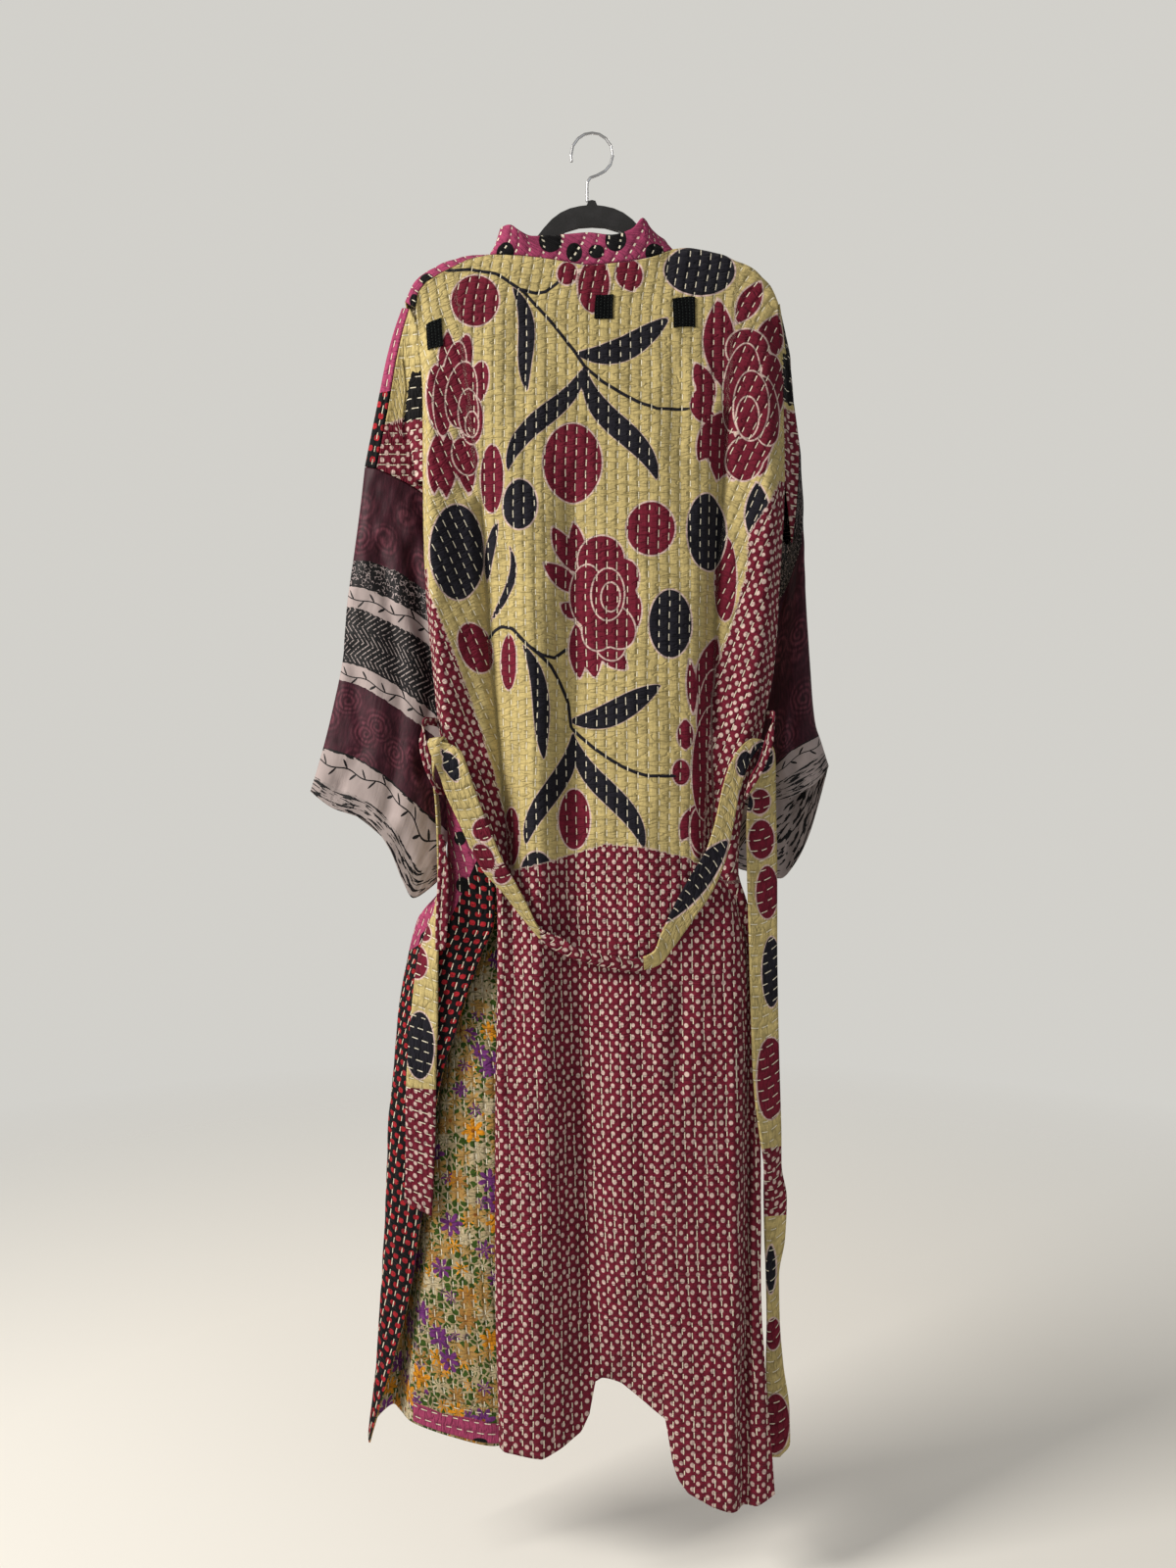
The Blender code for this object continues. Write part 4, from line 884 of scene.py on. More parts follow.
# Band on the two fronts: height, then its free edge from the seam in x, y, z, left and right.
BAND_LEFT = (
    (139, 17, 2, 27),
    (143, 19, 5, 27),
    (160, 23, 9, 30),
    (190, 30, 11, 28),
    (240, 38, 8, 14),
    (320, 43, 4, 4),
    (420, 44, 2, 0),
    (1000, 44, 2, 0),
    (1077, 38, 0, 0),
    (1150, 30, 10, 0),
    (1200, 14, 30, 0),
    (1250, -14, 32, 0),
    (1350, -36, 20, 0),
    (1440, -42, 10, 0),
    (1520, -43, 8, 0),
)
BAND_RIGHT = (
    (131, -13, 5, 6),
    (136, -15, 6, 8),
    (142, -17, 7, 12),
    (160, -22, 9, 20),
    (190, -30, 11, 22),
    (240, -38, 8, 14),
    (320, -43, 4, 4),
    (420, -44, 2, 0),
    (1500, -44, 2, 0),
)


def band_stations(edge, table):
    """Band along one front edge: the seam points, and the free edge beside them."""
    table = np.array(table, float)
    offset = np.stack([np.interp(-edge[:, 2], table[:, 0], table[:, k]) for k in (1, 2, 3)], 1)
    return np.concatenate([edge, edge + offset], 1)


left_band = band_stations(left_front[2:, -1], BAND_LEFT)
right_band = band_stations(right_front[1:, -1], BAND_RIGHT)
for panel, stations in ((left_front[2:], left_band), (right_front[1:], right_band)):
    seam, free_edge = stations[:, :3], stations[:, 3:]
    panel[:, -1], stations[:, :3] = apart(panel[:, -1], panel[:, -2], seam, free_edge, CLOTH)
neck = np.array(BAND_NECK, float)
neck_seam = np.stack([neck[:, 0], np.interp(neck[:, 0], back[0, :, 0], back[0, :, 1]),
                      np.interp(neck[:, 0], back[0, :, 0], back[0, :, 2]) + 2 * SEAM_GAP], 1)
band = np.concatenate([left_band[::-1], np.concatenate([neck_seam, neck[:, 1:]], 1), right_band])
across = np.linspace(0, 1, 3)[None, :, None]
band = band[:, None, :3] * (1 - across) + band[:, None, 3:] * across
band_fine = finer(band, STEP)

# Black spots on the band behind the neck and on the shoulder strip: middle x, z, half sizes, lean.
SPOTS = (
    (-98, -141, 11, 10, 20), (-47, -129, 13, 13), (-20, -142, 11, 9), (5, -141, 8, 9), (27, -128, 13, 12),
    (71, -142, 11, 11, -20), (-187, -170, 7, 9, 40), (-202, -194, 8, 5), (-206, -211, 8, 4),
    (-147, -858, 9, 8, 10), (-150, -805, 8, 7),
)
# Edge of the pink above the black and red check on the left front's outer face: x, z.
CHECK_EDGE = ((-260, -980), (-236, -955), (-164, -904), (-134, -837), (-100, -760), (200, -760))


def spotted_check(grid):
    """Fields of the pink spotted cloth: its spots, and the height above the check's edge."""
    x, z = grid[..., 0], grid[..., 2]
    return {
        "spot": from_shapes(x, z, SPOTS),
        "check": np.clip(z - np.interp(x, *np.transpose(CHECK_EDGE)), -30, 30),
    }


def pink_colour(tree, place):
    """Pink cloth with black spots: those given, and more of them strewn where the field says so."""
    cell = node(tree, "TexVoronoi", {"Vector": place, "Scale": 24.0, "Randomness": 0.55})
    strewn = times(tree, soft_step(tree, cell, 0.2, 0.17), is_less(tree, field(tree, "strewn"), 0.5))
    given_spot = soft_step(tree, field(tree, "spot"), 0.5, -0.3)
    return mix(tree, number(tree, "MAXIMUM", given_spot, strewn), PINK, BLACK)


def check_colour(tree, place):
    """Black cloth with red squares, their corners round and edges ragged, in staggered rows."""
    u, v, _ = split(tree, place)
    high = number(tree, "DIVIDE", v, 0.0105)
    wide = number(tree, "MULTIPLY_ADD", number(tree, "FLOOR", high), 0.5, number(tree, "DIVIDE", u, 0.0125))
    off = [number(tree, "POWER", number(tree, "ABSOLUTE", from_middle(tree, at)), 2.6) for at in (wide, high)]
    ragged = node(tree, "TexNoise", {"Vector": place, "Scale": 420.0})
    square = times(tree, is_less(tree, number(tree, "ADD", *off), 0.036), is_more(tree, ragged, 0.36))
    return mix(tree, square, BLACK, dye(168, 32, 42))


def left_front_colour(tree, place):
    """Pink with black spots above, black and red check below."""
    lower = is_less(tree, field(tree, "check"), 0.0)
    return mix(tree, lower, pink_colour(tree, place), check_colour(tree, place))


def around(tree, place, cell):
    """Angle of a place about the middle of the cell it is in."""
    out = node(tree, "VectorMath", {0: place, 1: cell.node.outputs["Position"]}, operation="SUBTRACT")
    out_x, out_y, _ = split(tree, out)
    return number(tree, "ARCTAN2", out_y, out_x)


# Daisies of the flowered cloth: from which share of them on each colour is used.
DAISIES = ((0.28, (200, 184, 150)), (0.5, (216, 142, 30)), (0.68, (112, 50, 118)), (0.84, (166, 120, 60)))


def flower_colour(tree, place):
    """Small daisies in ochre, orange, violet and cream over green leaves on a cream ground."""
    ragged = node(tree, "TexNoise", {"Vector": place, "Scale": 260.0}, out=1)
    place = moved(tree, place, scaled(tree, ragged, 0.0022))
    near, second = (node(tree, "TexVoronoi", {"Vector": place, "Scale": 120.0}, feature=which)
                    for which in ("F1", "F2"))
    green = is_more(tree, minus(tree, second, near), 0.16)
    colour = mix(tree, green, dye(178, 160, 124), dye(58, 84, 26))
    for scale, shift, petals in ((46.0, 0.31, 8.0), (38.0, 0.0, 7.0)):
        at = moved(tree, place, (shift, shift * 0.7, 0.0))
        cell = node(tree, "TexVoronoi", {"Vector": at, "Scale": scale, "Randomness": 0.7})
        own_turn, own_kind, _ = split(tree, cell.node.outputs["Color"])
        angle = number(tree, "MULTIPLY_ADD", own_turn, 6.0, around(tree, at, cell))
        petal = number(tree, "ABSOLUTE", number(tree, "SINE", times(tree, angle, petals / 2)))
        inside = is_less(tree, cell, number(tree, "MULTIPLY_ADD", petal, 0.36, 0.19))
        kinds = node(tree, "ValToRGB", {0: own_kind})
        ramp = kinds.node.color_ramp
        ramp.interpolation = "CONSTANT"
        ramp.elements[0].color = dye(180, 140, 78)
        for start, ink in DAISIES:
            ramp.elements.new(start).color = dye(*ink)
        ramp.elements[-1].color = dye(*DAISIES[-1][1])
        shade = number(tree, "MULTIPLY_ADD", petal, 0.35, 0.7)
        colour = mix(tree, inside, colour, scaled(tree, kinds, shade))
        colour = mix(tree, is_less(tree, cell, 0.085), colour, dye(146, 88, 34))
    return colour


# Creases of the two fronts, which the back hides: like the back's own, pressed in from the front.
FRONT_CREASES = (
    (((-140, -300), (-118, -500), (-100, -690)), -4.0, 9.0),
    (((-70, -330), (-60, -640)), -3.5, 10.0),
    (((-60, -900), (-78, -1150), (-92, -1400)), -4.0, 9.0),
    (((150, -260), (143, -520), (122, -780)), -4.0, 9.0),
    (((112, -330), (96, -700)), -3.5, 10.0),
    (((130, -880), (134, -1150), (128, -1440)), -4.0, 9.0),
)

left_fine = finer(left_front, STEP)
left_place = laid_flat(left_fine, 0)
left_fields = spotted_check(left_fine)
left_fields["strewn"] = np.where(left_fine[..., 1] > 12, 0.0, 1.0)
cut["left_front"] = left_front
panels["left_front"] = crumpled(creased(left_fine, FRONT_CREASES), 0.5, 9)
left_piece = sheet("left_front_cloth", panels["left_front"], left_place, CLOTH, left_fields)
left_look = stitched_look("pink_and_check_cotton", left_front_colour)
flowered_look = stitched_look("flowered_cotton", flower_colour, wear=0.8)
finish_piece(left_piece, flowered_look, "left_front")
left_piece.data.materials.append(left_look)
left_piece.modifiers["wall"].material_offset = 1

right_fine = finer(right_front, STEP)
right_fields = khaki_print(right_fine)
right_fields["dotted"] = np.clip(right_fine[..., 2] + 840, -30, 30)
right_shape = crumpled(creased(right_fine, FRONT_CREASES), 0.5, 12)
right_piece = sheet("right_front_cloth", right_shape, laid_flat(right_fine, 0), CLOTH, right_fields)
finish_piece(right_piece, khaki_look, "right_front")

band_fields = spotted_check(band_fine)
band_fields["strewn"] = np.where(band_fine[..., 2] > -160, 1.0, 0.0)
lean = np.radians(33)
band_turn = ((np.sin(lean), np.cos(lean)), (np.cos(lean), -np.sin(lean)))
band_place = laid_flat(band_fine, 0) @ band_turn
band_piece = sheet("neck_band_cloth", band_fine, band_place, CLOTH, band_fields)
band_look = stitched_look("pink_spotted_cotton", pink_colour, across=True,
                          Line_gap=0.0085, Stitch=0.012, Share=0.4)
finish_piece(band_piece, band_look, "neck_band")

# Upper sleeves: stitched cotton in two halves each, set on at the shoulder line; khaki, dotted and
# black at the back, pink with check or black at the front.
UPPER_LEFT_BACK = {
    0.0: ((-208, -4, -201), (-198, -1, -240), (-196.4, 1, -290), (-196.4, 2.6, -345), (-195.5, 4, -396)),
    0.3: ((-221, 3, -240), (-216, 8, -275), (-213, 12, -312), (-210, 15, -352), (-204, 20, -392)),
    0.65: ((-236, 13, -310), (-226, 18, -330), (-213, 23, -354), (-200, 28, -381), (-184, 34, -412)),
    1.0: ((-251, 23, -376), (-226, 27, -387), (-199, 32, -402), (-182, 37, -418), (-166, 43, -440)),
}
UPPER_LEFT_FRONT = {
    0.0: ((-208, -4, -201), (-217, 3, -198), (-211, 11, -213), (-198, 14.5, -252), (-195, 15, -322),
          (-193.6, 12, -398)),
    0.3: ((-221, 3, -240), (-232, 11, -236), (-224, 24, -256), (-211, 33, -300), (-202, 37, -350),
          (-187, 38, -392)),
    0.65: ((-236, 13, -310), (-249, 21, -305), (-236, 37, -322), (-216, 47, -352), (-197, 51, -381),
           (-173, 49, -412)),
    1.0: ((-251, 23, -376), (-265, 31, -372), (-240, 47, -381), (-212, 55, -397), (-186, 58, -418),
          (-165, 49, -440)),
}
UPPER_RIGHT_BACK = {
    0.0: ((214, 0, -194), (217, 0, -235), (219.8, 0.4, -285), (221.2, 1, -340), (221.6, 2.4, -396)),
    0.5: ((226, 12, -262), (226, 14, -300), (227, 15, -340), (228, 17, -382), (228.5, 20, -424)),
    1.0: ((241, 26, -343), (241, 25, -370), (240, 26, -398), (238, 29, -430), (235, 34.5, -460)),
}
UPPER_RIGHT_FRONT = {
    0.0: ((214, 0, -194), (215, 6, -195), (217.5, 12, -201), (220.5, 14, -247), (221, 14, -325),
          (220.4, 8, -396)),
    0.5: ((226, 12, -262), (230, 18, -263), (232, 29, -271), (228, 38, -312), (225, 39, -370),
          (222, 27, -424)),
    1.0: ((241, 26, -343), (239, 37, -346), (231, 51, -362), (224, 58, -388), (222, 60, -425),
          (226, 47, -452)),
}


def drawn_in(grid, row, beside):
    """The grid with one end row drawn in from its seam, square to it, towards the row beside it."""
    along = np.gradient(grid[row], axis=0)
    along /= np.linalg.norm(along, axis=1, keepdims=True)
    step = grid[beside] - grid[row]
    step = step - (step * along).sum(1, keepdims=True) * along
    out = grid.copy()
    out[row] += step / np.linalg.norm(step, axis=1, keepdims=True) * 1.5 * SEAM_GAP
    return out


def armhole(sleeve, panel, edge, beside, first):
    """Lays a sleeve's first ring along a panel's side edge, a seam gap off, from one point on down."""
    height = -sleeve[0, first:, 2]
    side, inner = (np.stack([np.interp(height, -panel[2:, column, 2], panel[2:, column, axis])
                             for axis in range(3)], 1) for column in (edge, beside))
    clear = apart(side, inner, side, sleeve[1, first:], CLOTH)[1]
    sleeve[0, first:] = 2 * clear - side


def sleeve_fields(grid):
    """Fields of an upper sleeve: rows of dots lower down, and the black block above them."""
    fields = khaki_print(grid)
    x, z = grid[..., 0], grid[..., 2]
    fields["dotted"] = np.where(x < 0, z + 322 + (x + 220) * -0.3, z + 312)
    left_block = np.maximum(np.abs(z + 298) - 27, np.abs(x + 199 - (z + 298) * 0.2) - 14)
    right_block = np.maximum(np.abs(z + 276) - 28, np.abs(x - 227) - 9)
    fields["block"] = np.where(x < 0, left_block, right_block)
    fields["spot"] = from_shapes(x, z, SPOTS)
    fields["check"] = np.clip(z + 290, -30, 30)
    fields["strewn"] = np.where(grid[..., 1] > 20, 0.0, 1.0)
    return fields


def sleeve_colour(tree, place):
    """Khaki print with a black rough block, and dots lower down."""
    fuzz = node(tree, "TexNoise", {"Vector": place, "Scale": 300.0})
    off = shaken(tree, field(tree, "block"), fuzz, 9.0)
    return mix(tree, is_less(tree, off, 0.0), khaki_colour(tree, place), BLACK)


def black_flower_colour(tree, place):
    """Black cloth with broken white strokes."""
    strokes = node(tree, "TexNoise", {"Vector": stretched(tree, place, 1.0, 0.35), "Scale": 150.0,
                                      "Detail": 3.0, "Distortion": 1.2})
    return mix(tree, soft_step(tree, strokes, 0.56, 0.6), BLACK, dye(196, 182, 176))


sleeve_look = stitched_look("khaki_and_dotted_sleeve_cotton", sleeve_colour, across=True)
pink_sleeve_look = stitched_look("pink_and_check_sleeve_cotton", left_front_colour)
black_sleeve_look = stitched_look("black_flower_cotton", black_flower_colour, across=True)

# Silk sleeves: the lower part of each sleeve, one tube of thin printed silk with maroon swirls, black
# marks and pale vines across it, sewn to both upper halves, open and uneven at the cuff.
SILK = 1.4
SILK_LEFT = {
    40: ((-270, 33, -412), (-257, 25, -416), (-228, 26, -428), (-200, 30, -444), (-178, 37, -462),
         (-158, 46, -485), (-179, 60, -462), (-206, 60, -444), (-240, 52, -428)),
    100: ((-279, 35, -477), (-262, 27, -479), (-230, 26, -490), (-197, 29, -510), (-172, 37, -530),
          (-150, 46, -552), (-172, 60, -530), (-200, 61, -510), (-242, 52, -490)),
    158: ((-287, 36, -533), (-268, 28, -538), (-232, 24, -554), (-196, 29, -575), (-171, 37, -596),
          (-150, 46, -618), (-172, 59, -596), (-202, 60, -575), (-246, 52, -554)),
    222: ((-292, 37, -595), (-272, 28, -600), (-236, 25, -618), (-200, 26, -643), (-174, 34, -664),
          (-154, 44, -686), (-176, 57, -664), (-206, 58, -643), (-250, 52, -618)),
    280: ((-303, 38, -650), (-280, 30, -657), (-244, 23, -678), (-208, 25, -706), (-180, 32, -728),
          (-160, 42, -746), (-182, 54, -728), (-214, 56, -706), (-258, 50, -678)),
    335: ((-316, 39, -702), (-290, 31, -709), (-252, 25, -727), (-216, 22, -758), (-188, 28, -784),
          (-168, 38, -800), (-190, 50, -784), (-222, 54, -758), (-268, 50, -727)),
    384: ((-331, 40, -752), (-302, 33, -772), (-262, 28, -786), (-234, 24, -822), (-208, 25, -876),
          (-180, 35, -856), (-204, 46, -866), (-234, 52, -822), (-278, 50, -782)),
}
SILK_RIGHT = {
    18: ((242.5, 36, -362), (244, 28, -364), (243.5, 27, -386), (242, 28, -413), (239.5, 31.5, -446),
         (232, 46, -483), (224, 66, -443), (227, 65, -403), (236, 53, -379)),
    40: ((244, 37, -385), (245, 29, -387), (244.5, 28, -408), (242.5, 29, -434), (239, 33, -464),
         (229, 48, -502), (219, 70, -463), (224, 70, -427), (235, 56, -400)),
    80: ((247, 35, -428), (246, 29, -432), (245, 28.5, -450), (241, 31, -474), (234, 40, -500),
         (216, 56, -526), (208, 72, -502), (219, 72, -466), (237, 58, -438)),
    160: ((250, 36, -510), (246, 28, -514), (238, 30, -522), (224, 48, -540), (208, 53, -562),
          (194, 58, -590), (202, 71, -572), (220, 73, -548), (242, 60, -522)),
    240: ((256, 38, -600), (248, 29, -604), (234, 31, -612), (216, 50, -630), (198, 54, -648),
          (180, 59, -670), (196, 72, -654), (218, 74, -632), (244, 62, -608)),
    300: ((262, 40, -668), (250, 29, -674), (228, 29, -688), (208, 47, -710), (190, 52, -728),
          (172, 58, -746), (190, 72, -730), (212, 75, -708), (242, 63, -684)),
    340: ((270, 41, -694), (254, 29, -702), (226, 27, -720), (204, 42, -744), (186, 50, -762),
          (168, 57, -778), (188, 71, -770), (214, 74, -746), (250, 63, -716)),
    384: ((279, 42, -722), (262, 31, -742), (236, 27, -757), (212, 34, -764), (188, 44, -800),
          (168, 56, -838), (196, 72, -850), (228, 74, -857), (262, 64, -800)),
}
SILK_RINGS = (0, 18, 40, 70, 100, 130, 158, 190, 222, 250, 280, 308, 335, 360, 384)

# Creases of the silk sleeves: lines of x, z that run down from the shoulder, then depth and width.
SILK_CREASES = (
    (((-246, -470), (-222, -640), (-236, -775)), 4.0, 9.0),
    (((-210, -470), (-190, -620), (-196, -730)), 4.0, 8.0),
    (((-282, -590), (-268, -700), (-292, -745)), 3.5, 9.0),
    (((233, -480), (228, -600), (236, -700)), 3.0, 7.0),
    (((205, -560), (192, -700)), 3.0, 8.0),
)

# Bands down each sleeve, by how far from its seam each begins, in millimetres.
SILK_BANDS = {
    "left": ((0, "swirl"), (104, "pebble"), (133, "vine"), (160, "chevron"), (225, "vine"), (249, "swirl"),
             (333, "vine"), (367, "bark")),
    "right": ((0, "pebble"), (60, "chevron"), (96, "swirl"), (326, "vine"), (356, "bark")),
}


def swirl_colour(tree, place):
    """Dusky maroon with rolled rose swirls: round marks turning about scattered middles."""
    shake = node(tree, "TexNoise", {"Vector": place, "Scale": 60.0}, out=1)
    shifted = moved(tree, place, scaled(tree, shake, 0.006))
    cell = node(tree, "TexVoronoi", {"Vector": shifted, "Scale": 27.0, "Randomness": 0.75})
    turns = number(tree, "DIVIDE", around(tree, shifted, cell), 2 * np.pi)
    stroke = number(tree, "ABSOLUTE", from_middle(tree, number(tree, "MULTIPLY_ADD", cell, 6.5, turns)))
    brush = node(tree, "TexNoise", {"Vector": stretched(tree, place, 2.2, 0.5), "Scale": 190.0,
                                    "Detail": 3.0})
    share = times(tree, soft_step(tree, stroke, 0.1, 0.42), soft_step(tree, brush, 0.3, 0.62))
    share = times(tree, share, soft_step(tree, cell, 0.62, 0.38))
    colour = mix(tree, soft_step(tree, brush, 0.35, 0.75), dye(44, 12, 25), dye(68, 25, 39))
    colour = mix(tree, share, colour, dye(102, 50, 63))
    return mix(tree, soft_step(tree, cell, 0.1, 0.03), colour, dye(38, 10, 21))


def pebble_colour(tree, place):
    """Black with small pale angular marks."""
    inner = node(tree, "TexVoronoi", {"Vector": place, "Scale": 240.0}, feature="DISTANCE_TO_EDGE")
    chance = node(tree, "TexNoise", {"Vector": place, "Scale": 190.0})
    pale = times(tree, is_less(tree, inner, 0.055), is_more(tree, chance, 0.5))
    return mix(tree, pale, BLACK, dye(164, 150, 150))


def vine_colour(tree, place, start):
    """Pale band with a black wavy stem, leaves on alternate sides and rough black edges."""
    u, v, _ = split(tree, place)
    down = minus(tree, v, start * MM)
    waves = [times(tree, number(tree, "SINE", times(tree, u, often)), height)
             for often, height in ((130.0, 0.0022), (47.0, 0.0025))]
    off = minus(tree, minus(tree, down, 0.0135), number(tree, "ADD", *waves))
    stem = is_less(tree, number(tree, "ABSOLUTE", off), 0.0007)
    leaf_gap = 0.013
    cell = number(tree, "DIVIDE", u, leaf_gap)
    side = number(tree, "FRACT", times(tree, number(tree, "FLOOR", cell), 0.5))
    side = minus(tree, times(tree, side, 4.0), 1.0)
    leaf_y = number(tree, "MULTIPLY_ADD", side, -0.0042, off)
    leaf_x = times(tree, from_middle(tree, cell), leaf_gap)
    leaf_x = number(tree, "MULTIPLY_ADD", times(tree, leaf_y, side), 0.8, leaf_x)
    oval = [number(tree, "POWER", number(tree, "DIVIDE", out, half), 2.0)
            for out, half in ((leaf_x, 0.0016), (leaf_y, 0.0042))]
    leaf = is_less(tree, number(tree, "ADD", *oval), 1.0)
    rough = node(tree, "TexNoise", {"Vector": stretched(tree, place, 0.3, 1.0), "Scale": 260.0,
                                    "Detail": 2.0})
    edge = is_less(tree, number(tree, "MULTIPLY_ADD", rough, -0.0075, down), -0.0016)
    black = number(tree, "MAXIMUM", edge, number(tree, "MAXIMUM", stem, leaf))
    return mix(tree, black, dye(168, 154, 152), BLACK)


def chevron_colour(tree, place):
    """Black with slanting rows of broken pale bars that meet in points."""
    u, v, _ = split(tree, place)
    zig = number(tree, "ABSOLUTE", from_middle(tree, number(tree, "DIVIDE", v, 0.036)))
    slant = number(tree, "MULTIPLY_ADD", zig, 0.034, u)
    bar = number(tree, "FRACT", number(tree, "DIVIDE", slant, 0.0066))
    chance = node(tree, "TexNoise", {"Vector": place, "Scale": 330.0, "Detail": 1.0})
    pale = times(tree, is_less(tree, bar, 0.24), is_more(tree, chance, 0.47))
    return mix(tree, pale, BLACK, dye(158, 146, 144))


def bark_colour(tree, place):
    """Pale with long rough black lines round the sleeve."""
    lines = node(tree, "TexNoise", {"Vector": stretched(tree, place, 0.12, 1.0), "Scale": 420.0,
                                    "Detail": 3.0})
    return mix(tree, is_more(tree, lines, 0.53), dye(158, 146, 144), BLACK)


def silk_colour(tree, place, bands):
    """The bands one after another down the sleeve, their edges a little rough."""
    rough = node(tree, "TexNoise", {"Vector": place, "Scale": 120.0})
    down = shaken(tree, split(tree, place)[1], rough, 0.005)
    kinds = {"swirl": swirl_colour(tree, place), "pebble": pebble_colour(tree, place),
             "chevron": chevron_colour(tree, place), "bark": bark_colour(tree, place)}
    colour = kinds[bands[0][1]]
    for start, kind in bands[1:]:
        band = vine_colour(tree, place, start) if kind == "vine" else kinds[kind]
        colour = mix(tree, is_more(tree, down, start * MM), colour, band)
    return colour


def silk_look(name, bands):
    """Thin soft silk with its printed bands, fine creases down it with painted shade and light along them,
    and the grain of its threads.
    """
    made, tree, shader = new_look(name, Roughness=0.6, Specular_IOR_Level=0.2)
    place = node(tree, "UVMap", uv_map="cloth")
    creases = node(tree, "TexNoise", {"Vector": stretched(tree, place, 1.0, 0.25), "Scale": 42.0,
                                      "Detail": 4.0, "Distortion": 0.5})
    threads = node(tree, "TexNoise", {"Vector": place, "Scale": 1500.0})
    # Painted shade and light: the printed colour goes darker and lighter with the same crease noise that
    # gives the relief.
    shade = number(tree, "MULTIPLY_ADD", creases, 0.9, 0.5)
    tree.links.new(scaled(tree, silk_colour(tree, place, bands), shade), shader["Base Color"])
    raised(tree, shader, number(tree, "MULTIPLY_ADD", threads, 0.05, creases), 0.5, 0.004)
    return made


upper_rings = np.linspace(0, 1, 6)

# Each sleeve in turn: its two upper halves, laid along the armhole, then the silk tube under both.
for side, front, columns, back_table, front_table, front_look, silk_table in (
    ("left", left_front, (0, 1), UPPER_LEFT_BACK, UPPER_LEFT_FRONT, pink_sleeve_look, SILK_LEFT),
    ("right", right_front, (-1, -2), UPPER_RIGHT_BACK, UPPER_RIGHT_FRONT, black_sleeve_look, SILK_RIGHT),
):
    behind = rings(back_table, upper_rings, 2, False)
    before = rings(front_table, upper_rings, 2, False)
    armhole(behind, back, *columns, 1)
    armhole(before, front, 0, 1, 5)
    underarm = (behind[-1, -1:] + before[-1, -1:]) / 2 - (0, 0, 5)
    first = np.concatenate([before[-1, 2:0:-1], behind[-1, :-1], underarm, before[-1, -2:2:-1]])
    behind[:, 0], before[:, 0] = apart(behind[:, 0], behind[:, 1], before[:, 0], before[:, 1], CLOTH)
    for end, half, look, seed in (("back", behind, sleeve_look, 3), ("front", before, front_look, 5)):
        name = f"{side}_upper_sleeve_{end}"
        cut[name] = drawn_in(half, -1, -2)
        half = finer(cut[name], STEP)
        panels[name] = half
        place = half[..., ::2] * (1, -1) if end == "back" else laid_flat(half, 0)
        piece = sheet(name + "_cloth", half, place, CLOTH, sleeve_fields(half))
        finish_piece(piece, look, name)
    silk = rings({0: first[::2], **silk_table}, SILK_RINGS, 2, True)
    silk[0] = first
    silk = drawn_in(silk, 0, 1)
    silk = np.concatenate([silk, silk[:, :1]], 1)
    # Each ring's distance from the seam is carried along, because the printed bands follow it.
    levels = np.repeat(np.array(SILK_RINGS, float)[:, None], silk.shape[1], 1)
    both = finer(np.concatenate([silk, levels[..., None]], 2), STEP)
    silk, levels = both[..., :3], both[..., 3]
    round_it = laid_flat(silk, 0)[..., 0]
    shape = crumpled(creased(silk, SILK_CREASES), 0.7, 21)
    piece = sheet(f"{side}_silk_sleeve_cloth", shape, np.stack([round_it, levels], 2), SILK, closed=True)
    look = silk_look(f"{side}_printed_silk", SILK_BANDS[side])
    finish_piece(piece, look, f"{side}_silk_sleeve")

